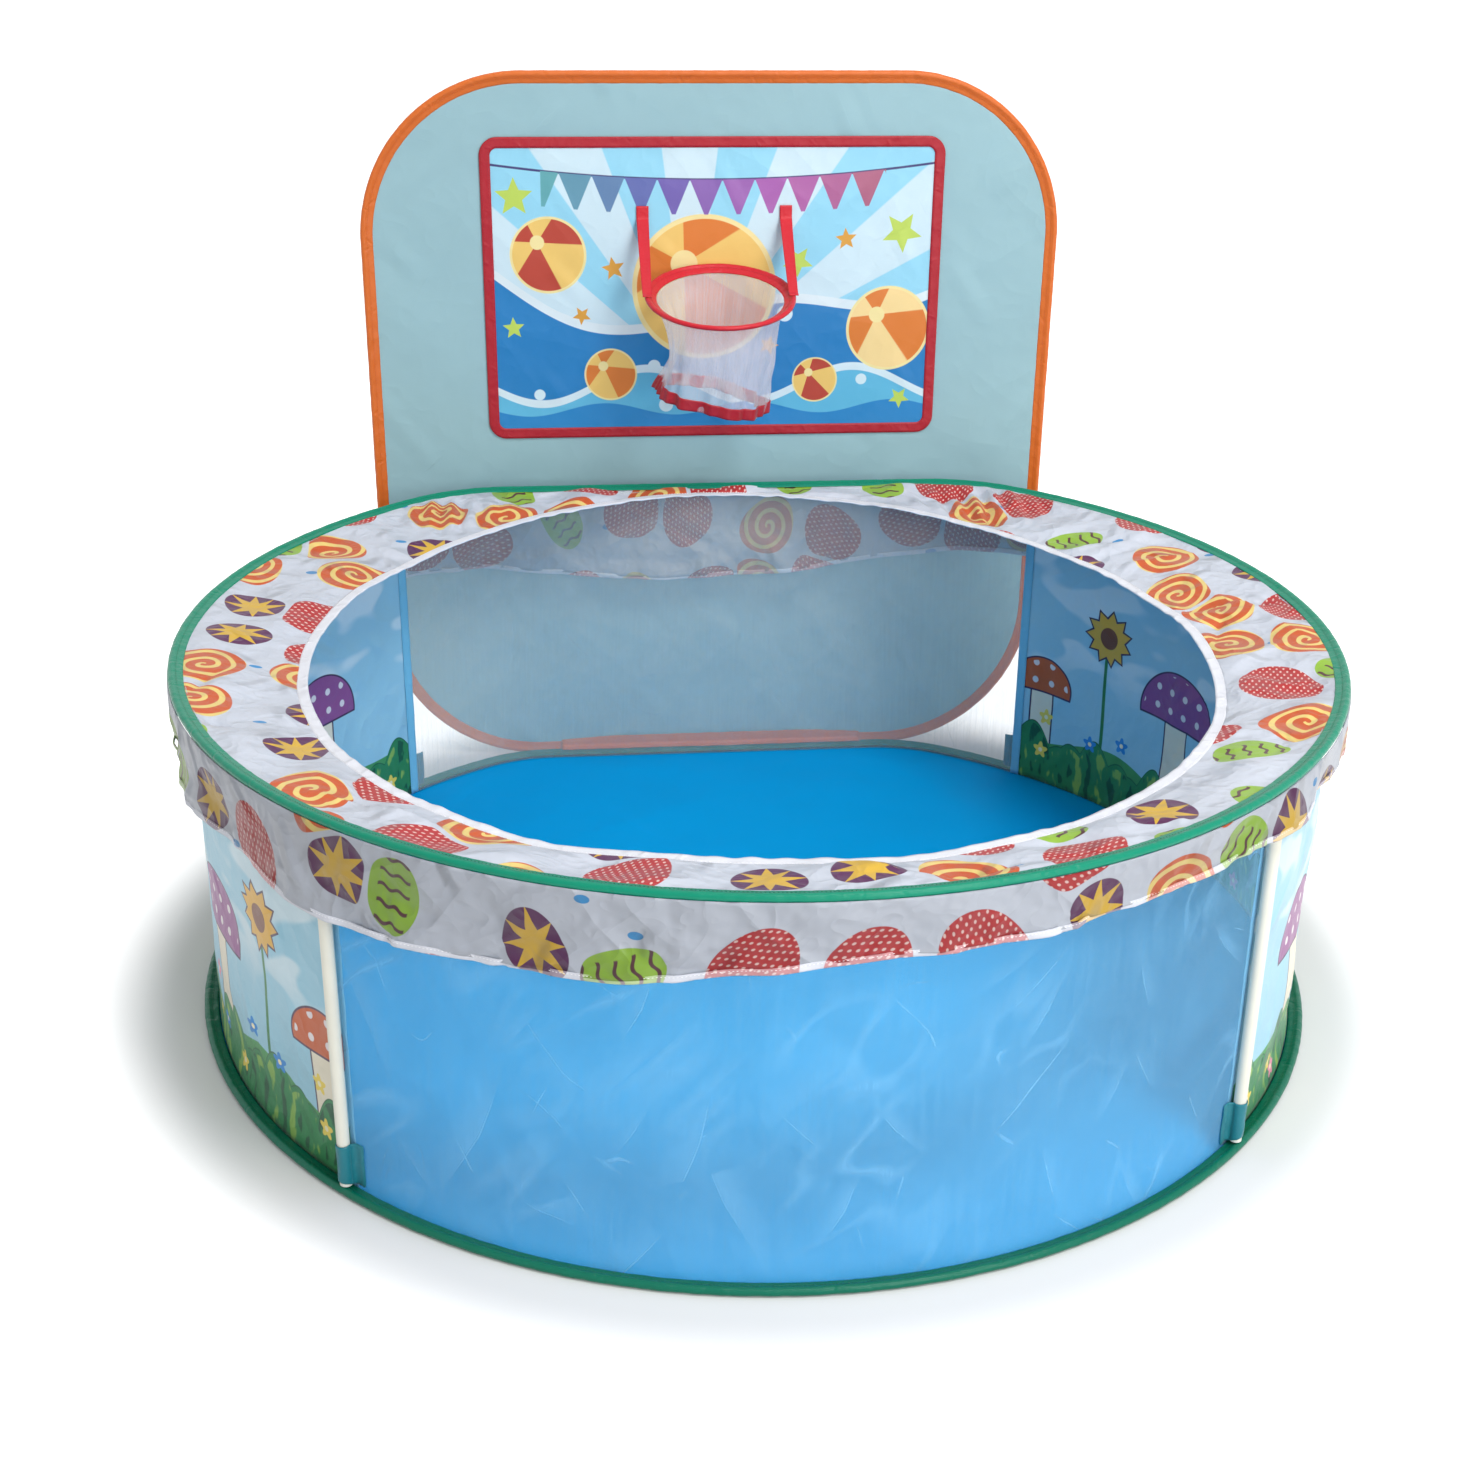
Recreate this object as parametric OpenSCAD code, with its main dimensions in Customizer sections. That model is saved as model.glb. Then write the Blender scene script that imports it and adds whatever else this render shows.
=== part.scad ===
// Pop-up ball pool: two spring-wire rings held apart by four poles, fabric and
// mesh walls, an inward top cover, a printed valance, and a pop-up backboard
// with a folding hoop and net. Millimetres, +Z up, +Y towards the backboard.
// The origin is on the ground at the centre of the rings.

/* [Pool] */
// Outside diameter of both rings
pool_d = 1200; // [1100:10:1300]
// Height of the top ring's wire above the ground
ring_height = 386; // [320:1:450]
// Distance from the centre to the straight rear of the bottom ring
bottom_flat = 540; // [525:1:555]
// Distance from the centre to the straight rear of the top ring
top_flat = 505; // [490:1:525]
// Radius that joins the round of a ring to its straight rear
blend_r = 180; // [150:1:210]
// Angle from the front at which the front poles stand
front_pole_angle = 45; // [38:1:60]
// Angle from the rear at which the back poles stand
back_pole_angle = 43; // [42:1:50]

/* [Edges] */
// Width of the green tape that wraps each ring
ring_tape_w = 15; // [12:0.5:20]
// Thickness of the tape where it wraps the wire
ring_tape_t = 8; // [7:0.5:10]
// Thickness of a tape's sewn inner edge
tape_edge_t = 2; // [1.4:0.1:3]
// Diameter of the spring wire in the rings and the backboard
wire_d = 2.4; // [2:0.1:3]
// Wall of the crimped ferrules that close each wire loop
ferrule_wall = 0.9; // [0.6:0.1:1.2]
// Length of the ferrules in the rings and the backboard
ferrule_l = 30; // [20:1:40]
// Gap between the two ends of a wire inside its ferrule
wire_gap = 1; // [0.5:0.1:2]

/* [Fabric] */
// Thickness of the floor, side and board cloth
cloth_t = 0.8; // [0.6:0.1:1.2]
// Thickness of the sewn walls
wall_t = 1; // [0.8:0.1:1.4]
// Width of the seam strips inside the corners
seam_w = 12; // [8:1:18]

/* [Poles] */
// Outside diameter of a pole
pole_d = 12; // [10:0.5:14]
// Wall of a pole tube
pole_wall = 1.5; // [1:0.1:2]
// Thickness of the head of an end plug
plug_head = 1.5; // [1:0.1:2.5]
// Length of the stem of an end plug
plug_stem = 9; // [6:1:14]
// Width of a pole pocket
pocket_w = 37; // [30:1:44]
// Height of a pole pocket
pocket_h = 45; // [35:1:60]

/* [Top cover] */
// Half width of the opening, side to side
mouth_half_x = 463; // [430:1:480]
// Distance from the centre to the front of the opening
mouth_front = 495; // [470:1:530]
// Distance from the centre to the rear of the opening
mouth_rear = 473; // [430:1:476]
// How far behind the centre the opening is widest, below 0 in front of it
mouth_mid_y = -11; // [-40:1:20]
// Squareness of the opening's front half, where 2 is an ellipse
mouth_front_power = 2.1; // [2:0.1:2.5]
// Squareness of its rear half
mouth_rear_power = 1.9; // [1.7:0.1:2.2]
// Width of the white hem round the opening
mouth_hem_w = 12; // [8:1:16]
// How far the hem hangs below the ring at the front and sides
mouth_sag = 20; // [8:1:26]
// How far it hangs below the ring at the rear
mouth_rear_sag = 4; // [3:1:20]

/* [Valance] */
// Mean height of the printed valance below the top ring
valance_drop = 74; // [62:1:90]
// How much longer the valance hangs on its low side, the left of the rear
valance_lean = 26; // [0:1:28]
// How far the valance's lower edge stands out from the ring
valance_flare = 7; // [4:0.5:9]
// Depth of the valance's folds at the lower edge
valance_fold = 5; // [3:0.5:6.5]
// Width of the white hem of the valance
valance_hem_w = 6; // [4:0.5:9]

/* [Backboard] */
// Outside width of the backboard
board_w = 864; // [800:2:920]
// Outside height of the backboard
board_h = 888; // [820:2:940]
// Corner radius of the backboard
board_corner_r = 200; // [160:5:230]
// Outside width of the picture panel
art_w = 570; // [520:2:620]
// Outside height of the picture panel
art_h = 372; // [330:2:390]
// Height of the middle of the picture panel above the ground
art_mid_z = 626; // [600:1:650]
// Corner radius of the picture panel
art_corner_r = 22; // [16:1:30]
// Width of the picture panel's red tape
art_tape_w = 13; // [9:1:16]
// Thickness of the picture panel's red tape
art_tape_t = 1.6; // [1.2:0.1:2.4]
// Half length of the cloth hinge along the foot of the backboard
hinge_half_l = 205; // [120:5:210]

/* [Hoop] */
// Outside diameter of the hoop
hoop_d = 183; // [165:1:200]
// Width of the red tape that wraps the hoop
hoop_tape_w = 15; // [10:0.5:18]
// Thickness of that tape where it wraps the wire
hoop_tape_t = 6; // [5:0.5:7]
// Diameter of the hoop's wire
hoop_wire_d = 2; // [1.6:0.1:2.4]
// Arc of the hoop's ferrule
hoop_ferrule_arc = 10; // [6:1:16]
// Height of the hoop's hinge line above the ground
hoop_z = 657; // [630:1:690]
// How far the hoop droops below level
hoop_droop = 13; // [6:1:20]
// Width of the straps that hold the hoop
strap_w = 15; // [10:1:18]
// Height of the strap's seam above the hoop's hinge line
strap_rise = 58; // [45:1:75]
// Depth of the net below the hoop
net_depth = 138; // [110:1:160]
// Radius of the net's lower end
net_foot_r = 66; // [56:1:72]
// How far the net's lower end hangs to the left
net_skew = 12; // [0:1:16]
// Width of the red tape round the net's lower end
net_hem_w = 15; // [10:1:20]

/* [Hidden] */
$fn = 144;
clear = 0.3;             // gap between pieces that are sewn or pushed together
wire_play = 0.8;         // gap between a wire and the tape sewn round it
seam_gap = 0.5;          // gap from a wall to the tape that it is sewn to
ferrule_play = 0.1;      // gap between a wire and its ferrule, all round
plug_play = 0.1;         // gap between a plug's stem and its pole, all round
pocket_play = 0.2;       // gap between a pole's socket and the pocket's flat back
tape_stitch = 1.5;       // where a tape's leaves are stitched, in radii from its edge
tape_leaf = 0.7;         // half the tape's thickness at that stitch, in radii
joint_gap = 0.02;        // gap between the stretches of a ring, closed at its joints
joint_swell = 0.1;       // how far a joint stands proud
joint_band = 1.2;        // length of a tape joint
seam_short = 2;          // how far a corner seam stops below the wall's top
rear_wall_dip = 1.6;     // how far the rear wall's top stays below the others'
cover_curve = 1.3;       // how steeply the cover drops towards its hem
valance_seat = 30;       // angle below level at which the valance meets the ring tape
flare_curve = 0.6;       // how soon the valance leans out, from 0, at once, to 1, evenly
lean_angle = 117;        // side on which the valance hangs longest
sways = [[2, 20, 78], [3, 10, 106]];   // its uneven hang: whole waves, height, side
scallops = 7;            // slow waves of the valance's hem line
scallop_depth = 2.5;     // their height
folds = [13, 22];        // whole folds round the valance, large and small
fold_shares = [0.6, 0.4];
fold_phase = 40;         // turn of the small folds against the large
hem_proud = 0.3;         // how far a valance hem stands out on each face, in cloth_t
board_lift = 0.5;        // height of the backboard's tape above the ground
hinge_lap = 4;           // how far the hinge tape laps onto each side
net_folds = 9;           // folds round the net
net_fold = 2.5;          // their depth at the net's foot
net_taper = 0.8;         // how soon the net draws in
net_level = 0.4;         // how far the net's foot turns from the hoop's droop to level
plate_cols = 180;        // sides of the floor's outline
cover_cols = 72;
cover_rows = 4;
valance_cols = 144;
valance_rows = 3;
net_cols = 36;
net_rows = 6;
wall_cols = 30;
wall_rows = 4;

ring_r = pool_d / 2;
tape_r = ring_tape_t / 2;
wire_line = ring_r - tape_r;             // radius of the ring wires
bottom_z = tape_r;                       // height of the bottom wire
ferrule_bore = wire_d / 2 + ferrule_play;
ferrule_r = ferrule_bore + ferrule_wall;
wall_out = ring_tape_w + seam_gap;       // inset of a wall's outer face
wall_in = wall_out + wall_t;
wall_bottom = cloth_t + clear;
wall_top = ring_height - cloth_t / 2 - seam_gap;
pocket_bore = pole_d / 2 + clear;
pocket_r = pocket_bore + cloth_t;
pocket_back = pocket_r + pocket_play;    // pole's axis to the pocket's flat back
pole_line = ring_r - wall_out + clear + pocket_back;
pocket_foot = ring_tape_t + clear;
pocket_head = ring_height - tape_r - clear;
pole_foot = pocket_foot + cloth_t + clear;
pole_head = pocket_head - cloth_t - clear;
pole_angles = [270 - front_pole_angle, 270 + front_pole_angle, 90 + back_pole_angle, 90 - back_pole_angle];
board_y = bottom_flat + clear + tape_r;  // middle plane of the backboard
board_foot = tape_r + board_lift;        // height of its lower wire, the hinge line
board_mid_z = board_foot - tape_r + board_h / 2;
art_face = board_y - cloth_t * 1.5;      // front of the picture panel
hoop_r = hoop_d / 2;
hoop_tape_r = hoop_tape_t / 2;
hoop_line = hoop_r - hoop_tape_r;        // radius of the hoop's wire
hoop_y = art_face - clear - hoop_tape_r; // hinge line of the hoop
hoop_ferrule_bore = hoop_wire_d / 2 + ferrule_play;
hoop_ferrule_r = hoop_ferrule_bore + ferrule_wall / 2;
net_top_r = hoop_r - hoop_tape_w - clear;

// ---- Ring path: a circle whose rear is drawn in to a straight line ----

function blend_y(flat) = flat - blend_r;
function blend_x(flat) = sqrt(pow(ring_r - blend_r, 2) - pow(blend_y(flat), 2));
function blend_end(flat) = atan(blend_x(flat) / blend_y(flat));

// Distance from the centre to the path at polar angle a, drawn in by inset
function ring_reach(flat, inset, a) =
    let (off = abs(((a - 90) % 360 + 540) % 360 - 180), cx = blend_x(flat), cy = blend_y(flat))
    off >= blend_end(flat) ? ring_r - inset :
    off <= atan(cx / (flat - inset)) ? (flat - inset) / cos(off) :
    let (along = cx * sin(off) + cy * cos(off))
    along + sqrt(pow(along, 2) - cx * cx - cy * cy + pow(blend_r - inset, 2));

function polar(r, a, z) = [r * cos(a), r * sin(a), z];
function rotated(v, a) = [v.x * cos(a) - v.y * sin(a), v.x * sin(a) + v.y * cos(a)];

// Sweeps a profile round the path; its x runs outwards from the outer edge.
// The four stretches stop joint_gap short of each other, and at_joints() joins them.
module ring_sweep(flat) {
    end = blend_end(flat);
    trim = joint_gap / ring_r * 180 / PI;
    run = blend_x(flat) - joint_gap;
    rotate(90 + end + trim) rotate_extrude(angle = 360 - 2 * end - 2 * trim)
        translate([ring_r, 0]) children();
    for (side = [-1, 1])
        translate([side * blend_x(flat), blend_y(flat)]) rotate(side > 0 ? 90 - end : 90)
            rotate_extrude(angle = end) translate([blend_r, 0]) children();
    translate([-run, flat]) rotate([90, 0, 90]) linear_extrude(2 * run) children();
}

// Places a child where two stretches meet: X points outwards, Y along the path
module at_joints(flat)
    for (side = [-1, 1]) {
        rotate(90 + side * blend_end(flat)) translate([ring_r, 0]) children();
        translate([side * blend_x(flat), flat]) rotate(90) children();
    }

// A flat sheet inside the path
module ring_plate(flat, inset, t)
    linear_extrude(t)
        polygon([for (col = [0:plate_cols - 1]) let (a = 360 * col / plate_cols, r = ring_reach(flat, inset, a))
            [r * cos(a), r * sin(a)]]);

// ---- Rounded rectangle path, in the XY plane about its middle ----

module frame_sweep(w, h, r) {
    for (turn = [0:3])
        rotate(90 * turn) {
            half_run = (turn % 2 == 0 ? w : h) / 2 - r;
            reach = (turn % 2 == 0 ? h : w) / 2;
            translate([half_run, reach - r]) rotate_extrude(angle = 90) translate([r, 0]) children();
            translate([-half_run, reach]) rotate([90, 0, 90]) linear_extrude(2 * half_run) children();
        }
}

module frame_plate(w, h, r, t) {
    x = w / 2 - r;
    y = h / 2 - r;
    for (turn = [0:3])
        rotate(90 * turn) translate(turn % 2 == 0 ? [x, y] : [y, x])
            rotate_extrude(angle = 90) square([r, t]);
    linear_extrude(t)
        polygon([[x + r, -y], [x + r, y], [x, y], [x, y + r], [-x, y + r], [-x, y],
            [-x - r, y], [-x - r, -y], [-x, -y], [-x, -y - r], [x, -y - r], [x, -y]]);
}

// ---- Profiles of the sewn edges; x = 0 is the outer edge, y = 0 the wire ----

// A tape folded round a wire and stitched behind it, its two leaves ending at w
module tape_profile(r, w, bore, flat_foot = false) {
    stitch = r * tape_stitch;
    leaf = r * tape_leaf;
    edge = tape_edge_t / 2;
    difference() {
        union() {
            translate([-r, 0]) circle(r);
            polygon(flat_foot
                ? [[-stitch, leaf], [-stitch, -r], [-w, -r], [-w, tape_edge_t - r]]
                : [[-stitch, leaf], [-stitch, -leaf], [-w, -edge], [-w, edge]]);
        }
        translate([-r, 0]) circle(bore);
    }
}

module wire_profile(r) translate([-r, 0]) circle(wire_d / 2);

// The stitched band that closes a butt joint of a tape
module tape_joint(r, w, bore, flat_foot = false)
    rotate([90, 0, 0]) linear_extrude(joint_band, center = true) translate([joint_swell, 0])
        tape_profile(r + joint_swell, w + 2 * joint_swell, bore - joint_swell / 2, flat_foot);

// ---- Bent strips ----

function unit(v) = v / norm(v);
function left_of(v) = [-v.y, v.x];

// Outline of a strip of thickness t that lies to the left of the line through p
function band(p, t) =
    let (last = len(p) - 1)
    concat(p, [for (i = [last:-1:0])
        let (ahead = unit(p[min(i + 1, last)] - p[min(i, last - 1)]),
            behind = unit(p[max(i, 1)] - p[max(i - 1, 0)]),
            mitre = left_of(ahead + behind))
        p[i] + mitre * t / (mitre * left_of(ahead))]);

// Extrudes an outline given in Y and Z along X, half_l to each side
module across(half_l)
    translate([-half_l, 0, 0]) rotate([90, 0, 90]) linear_extrude(2 * half_l) children();

// ---- Cloth: a closed sheet between two grids of points ----

// outer and inner are rows of points; loop joins the last column to the first
module cloth(outer, inner, loop) {
    rows = len(outer);
    cols = len(outer[0]);
    spans = loop ? cols : cols - 1;
    function at(side, row, col) = (side * rows + row) * cols + col % cols;
    points = [for (grid = [outer, inner]) for (row = grid) for (p = row) p];
    skins = [for (r = [0:rows - 2]) for (c = [0:spans - 1]) each [
        [at(0, r, c), at(0, r, c + 1), at(0, r + 1, c + 1)],
        [at(0, r, c), at(0, r + 1, c + 1), at(0, r + 1, c)],
        [at(1, r, c), at(1, r + 1, c + 1), at(1, r, c + 1)],
        [at(1, r, c), at(1, r + 1, c), at(1, r + 1, c + 1)]]];
    rims = [for (c = [0:spans - 1]) each [
        [at(0, 0, c), at(1, 0, c), at(1, 0, c + 1)],
        [at(0, 0, c), at(1, 0, c + 1), at(0, 0, c + 1)],
        [at(0, rows - 1, c), at(1, rows - 1, c + 1), at(1, rows - 1, c)],
        [at(0, rows - 1, c), at(0, rows - 1, c + 1), at(1, rows - 1, c + 1)]]];
    last = cols - 1;
    ends = loop ? [] : [for (r = [0:rows - 2]) each [
        [at(0, r, 0), at(0, r + 1, 0), at(1, r + 1, 0)],
        [at(0, r, 0), at(1, r + 1, 0), at(1, r, 0)],
        [at(0, r, last), at(1, r + 1, last), at(0, r + 1, last)],
        [at(0, r, last), at(1, r, last), at(1, r + 1, last)]]];
    polyhedron(points, concat(skins, rims, ends));
}

// ---- Floor and rings ----

module floor_sheet() color("deepskyblue") ring_plate(bottom_flat, ring_tape_w + clear, cloth_t);

// The straight stretch of a ring that its ferrule sits on
module at_ferrule(flat, z) translate([0, flat - tape_r, z]) rotate([0, 90, 0]) children();

module ring_wire(flat, z)
    color("silver") difference() {
        translate([0, 0, z]) {
            ring_sweep(flat) wire_profile(tape_r);
            at_joints(flat) translate([-tape_r, 0]) sphere(wire_d / 2 + joint_swell);
        }
        at_ferrule(flat, z) cylinder(h = wire_gap, r = wire_d, center = true);
    }

module ferrule()
    difference() {
        cylinder(h = ferrule_l, r = ferrule_r, center = true);
        cylinder(h = ferrule_l + 2, r = ferrule_bore, center = true);
    }

module ring_ferrule(flat, z) color("dimgray") at_ferrule(flat, z) ferrule();

module ring_binding(flat, z, flat_foot)
    color("seagreen") difference() {
        translate([0, 0, z]) {
            ring_sweep(flat) tape_profile(tape_r, ring_tape_w, wire_d / 2 + wire_play, flat_foot);
            at_joints(flat) tape_joint(tape_r, ring_tape_w, wire_d / 2 + wire_play, flat_foot);
        }
        at_ferrule(flat, z) cylinder(h = ferrule_l + 2 * clear, r = ferrule_r + clear, center = true);
    }

module bottom_ring_wire() ring_wire(bottom_flat, bottom_z);
module bottom_ring_ferrule() ring_ferrule(bottom_flat, bottom_z);
module bottom_ring_binding() ring_binding(bottom_flat, bottom_z, true);
module top_ring_wire() ring_wire(top_flat, ring_height);
module top_ring_ferrule() ring_ferrule(top_flat, ring_height);
module top_ring_binding() ring_binding(top_flat, ring_height, false);

// ---- Poles and their pockets ----

module pole(i)
    color("ivory") translate(polar(pole_line, pole_angles[i], pole_foot + plug_head))
        difference() {
            cylinder(h = pole_head - pole_foot - 2 * plug_head, d = pole_d);
            translate([0, 0, -1]) cylinder(h = ring_height, d = pole_d - 2 * pole_wall);
        }

// Head and stem of one plug, standing on its head
module end_plug() {
    cylinder(h = plug_head, d = pole_d);
    cylinder(h = plug_head + plug_stem, d = pole_d - 2 * pole_wall - 2 * plug_play);
}

module pole_end_plugs()
    color("whitesmoke") for (a = pole_angles) {
        translate(polar(pole_line, a, pole_foot)) end_plug();
        translate(polar(pole_line, a, pole_head)) mirror([0, 0, 1]) end_plug();
    }

// A patch sewn flat to the wall at both sides and round the pole in the middle
module pocket_outline() {
    circle(pocket_r);
    translate([-pocket_back, -pocket_w / 2]) square([cloth_t, pocket_w]);
}

module pocket(i)
    color("mediumturquoise") rotate(pole_angles[i]) translate([pole_line, 0])
        difference() {
            linear_extrude(pocket_h) pocket_outline();
            translate([0, 0, cloth_t]) cylinder(h = pocket_h, r = pocket_bore);
        }

module lower_pocket(i) translate([0, 0, pocket_foot]) pocket(i);
module upper_pocket(i) translate([0, 0, pocket_head]) mirror([0, 0, 1]) pocket(i);

// ---- Walls ----

// A wall that follows the round of the rings from one polar angle to another
module round_wall(from, to, inset, t, foot, head)
    rotate(from) rotate_extrude(angle = to - from)
        translate([ring_r - inset - t, foot]) square([t, head - foot]);

half_seam = clear / ring_r * 90 / PI;    // half the gap between two walls, as an angle
function seam_angle(w) = w / (ring_r - wall_in) * 180 / PI;

module front_mesh_wall()
    color("aliceblue") round_wall(pole_angles[0] + half_seam, pole_angles[1] - half_seam,
        wall_out, wall_t, wall_bottom, wall_top);

module left_side_panel()
    color("skyblue") round_wall(pole_angles[2] + half_seam, pole_angles[0] - half_seam,
        wall_out, wall_t, wall_bottom, wall_top);

module right_side_panel()
    color("skyblue") round_wall(pole_angles[1] - 360 + half_seam, pole_angles[3] - half_seam,
        wall_out, wall_t, wall_bottom, wall_top);

// The rear wall leans in from the bottom ring's rear to the top ring's
function wall_point(inset, row, col) =
    let (a = pole_angles[3] + half_seam + (pole_angles[2] - pole_angles[3] - 2 * half_seam) * col / wall_cols,
        t = row / wall_rows,
        r = ring_reach(top_flat, inset, a) * (1 - t) + ring_reach(bottom_flat, inset, a) * t)
    polar(r, a, wall_top - rear_wall_dip + (wall_bottom - wall_top + rear_wall_dip) * t);

function wall_grid(inset) = [for (row = [0:wall_rows])
    [for (col = [0:wall_cols]) wall_point(inset, row, col)]];

module back_mesh_wall() color("aliceblue") cloth(wall_grid(wall_out), wall_grid(wall_in), false);

module corner_seam(i)
    color("lightskyblue") round_wall(pole_angles[i] - seam_angle(seam_w) / 2,
        pole_angles[i] + seam_angle(seam_w) / 2,
        wall_in + clear, cloth_t, wall_bottom + clear, wall_top - seam_short);

// ---- Top cover ----

function power(v, p) = sign(v) * pow(abs(v), p);

// The edge of the opening, let out by grow
function mouth_point(a, grow) =
    let (rear = sin(a) > 0, bend = 2 / (rear ? mouth_rear_power : mouth_front_power),
        half_y = rear ? mouth_rear - mouth_mid_y : mouth_front + mouth_mid_y)
    [(mouth_half_x + grow) * power(cos(a), bend), mouth_mid_y + (half_y + grow) * power(sin(a), bend)];

function sag_at(a) = mouth_sag + (mouth_rear_sag - mouth_sag) * pow(max(0, sin(a)), 2);

// t runs from the hem, 0, to the ring, 1
function cover_point(t, a, lift) =
    let (edge = ring_reach(top_flat, ring_tape_w + clear, a), ring = [edge * cos(a), edge * sin(a)],
        at = mouth_point(a, mouth_hem_w + clear) * (1 - t) + ring * t)
    [at.x, at.y, ring_height + lift - sag_at(a) * pow(1 - t, cover_curve)];

function cover_grid(lift) = [for (row = [0:cover_rows])
    [for (col = [0:cover_cols - 1]) cover_point(row / cover_rows, 360 * col / cover_cols, lift)]];

module top_cover() color("white") cloth(cover_grid(cloth_t / 2), cover_grid(-cloth_t / 2), true);

function hem_grid(lift) = [for (grow = [0, mouth_hem_w])
    [for (col = [0:cover_cols - 1]) let (a = 360 * col / cover_cols)
        concat(mouth_point(a, grow), ring_height + lift - sag_at(a))]];

module top_cover_hem() color("white") cloth(hem_grid(cloth_t), hem_grid(-cloth_t), true);

// ---- Valance ----

valance_top = ring_height - (tape_r + clear) * sin(valance_seat);
valance_in = tape_r - (tape_r + clear) * cos(valance_seat);   // inset of its sewn upper edge

function drop_at(a) =
    valance_drop + valance_lean * cos(a - lean_angle) + scallop_depth * cos(scallops * (a - 90))
    + sways[0][1] * cos(sways[0][0] * (a - sways[0][2])) + sways[1][1] * cos(sways[1][0] * (a - sways[1][2]));
function fold_at(a) =
    fold_shares[0] * cos(folds[0] * (a - 90)) + fold_shares[1] * cos(folds[1] * (a - 90) + fold_phase);

// down is the distance below the sewn edge
function valance_point(down, a, out) =
    let (t = down / valance_drop, r = ring_reach(top_flat, valance_in, a) + out)
    polar(r + valance_flare * pow(t, flare_curve) + valance_fold * fold_at(a) * t, a, valance_top - down);

function valance_grid(out) = [for (row = [0:valance_rows])
    [for (col = [0:valance_cols - 1])
        let (a = 360 * col / valance_cols, whole = drop_at(a) - valance_hem_w - clear)
        valance_point(whole * row / valance_rows, a, out)]];

module valance()
    color("white") cloth(valance_grid(cloth_t), valance_grid(0), true);

function valance_hem_grid(out) = [for (row = [0, 1])
    [for (col = [0:valance_cols - 1]) let (a = 360 * col / valance_cols)
        valance_point(drop_at(a) - valance_hem_w * (1 - row), a, out)]];

module valance_hem() {
    proud = cloth_t * hem_proud;
    color("white") cloth(valance_hem_grid(cloth_t + proud), valance_hem_grid(-proud), true);
}

// ---- Backboard ----

// Stands a flat piece upright on the backboard, its middle at height z
module on_board(z) translate([0, board_y, z]) rotate([90, 0, 0]) children();

module board_sheet()
    color("powderblue") on_board(board_mid_z) translate([0, 0, -cloth_t / 2])
        frame_plate(board_w - 2 * ring_tape_w - 2 * clear, board_h - 2 * ring_tape_w - 2 * clear,
            board_corner_r - ring_tape_w - clear, cloth_t);

module at_board_ferrule() translate([0, board_y, board_foot]) rotate([0, 90, 0]) children();

module board_wire()
    color("silver") difference() {
        on_board(board_mid_z) frame_sweep(board_w, board_h, board_corner_r) wire_profile(tape_r);
        at_board_ferrule() cylinder(h = wire_gap, r = wire_d, center = true);
    }

module board_ferrule() color("dimgray") at_board_ferrule() ferrule();

module board_binding()
    color("darkorange") difference() {
        on_board(board_mid_z) frame_sweep(board_w, board_h, board_corner_r)
            tape_profile(tape_r, ring_tape_w, wire_d / 2 + wire_play);
        at_board_ferrule() cylinder(h = ferrule_l + 2 * clear, r = ferrule_r + clear, center = true);
    }

// Sewn to the bottom ring's tape and to the foot of the backboard
module board_hinge_tape()
    color("darkorange") across(hinge_half_l)
        polygon(band([[bottom_flat - tape_r - hinge_lap, ring_tape_t + clear],
            [bottom_flat, ring_tape_t + clear],
            [board_y - cloth_t / 2 - clear, board_foot + ring_tape_w + hinge_lap]], cloth_t));

module art_panel()
    color("lightblue") on_board(art_mid_z) translate([0, 0, cloth_t / 2])
        frame_plate(art_w - 2 * art_tape_w - 2 * clear, art_h - 2 * art_tape_w - 2 * clear,
            art_corner_r - art_tape_w - clear, cloth_t);

module art_binding()
    color("crimson") on_board(art_mid_z) translate([0, 0, cloth_t / 2])
        frame_sweep(art_w, art_h, art_corner_r)
            translate([-art_tape_w, 0]) square([art_tape_w, art_tape_t]);

// ---- Hoop and net ----

// The hoop's own frame: its hinge line is X, its middle lies towards -Y
module on_hoop() translate([0, hoop_y, hoop_z]) rotate([hoop_droop, 0, 0]) children();

// Turns a profile round the hoop, its two ends gap apart at the hinge line
module hoop_ring(gap) {
    arc = gap / hoop_line * 180 / PI;
    translate([0, -hoop_line, 0]) rotate(90 + arc / 2) rotate_extrude(angle = 360 - arc) children();
}

module hoop_wire()
    color("silver") on_hoop() hoop_ring(wire_gap) translate([hoop_line, 0]) circle(hoop_wire_d / 2);

// An arc of tube round the joint in the hoop's wire
module hoop_joint(r, bore, arc)
    translate([0, -hoop_line, 0]) rotate(90 - arc / 2) rotate_extrude(angle = arc)
        translate([hoop_line, 0]) difference() {
            circle(r);
            if (bore > 0) circle(bore);
        }

module hoop_ferrule()
    color("dimgray") on_hoop() hoop_joint(hoop_ferrule_r, hoop_ferrule_bore, hoop_ferrule_arc);

module hoop_binding()
    color("red") on_hoop() difference() {
        union() {
            hoop_ring(joint_gap) translate([hoop_r, 0])
                tape_profile(hoop_tape_r, hoop_tape_w, hoop_wire_d / 2 + clear);
            translate([0, hoop_tape_r, 0]) rotate(90)
                tape_joint(hoop_tape_r, hoop_tape_w, hoop_wire_d / 2 + clear);
        }
        hoop_joint(hoop_ferrule_r + clear, 0, hoop_ferrule_arc + 2 * clear / hoop_line * 180 / PI);
    }

// The upper face of a strap, in Y and Z, from its seam on the board to the hoop's side
hoop_side = [hoop_y, hoop_z] + rotated([-hoop_line, hoop_tape_r + clear + cloth_t], hoop_droop);
strap_line = [
    [art_face - clear - cloth_t, hoop_z + strap_rise + strap_w],
    [art_face - clear - cloth_t, hoop_z + strap_rise],
    hoop_side,
    hoop_side + rotated([-strap_w / 2, 0], hoop_droop)];

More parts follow.
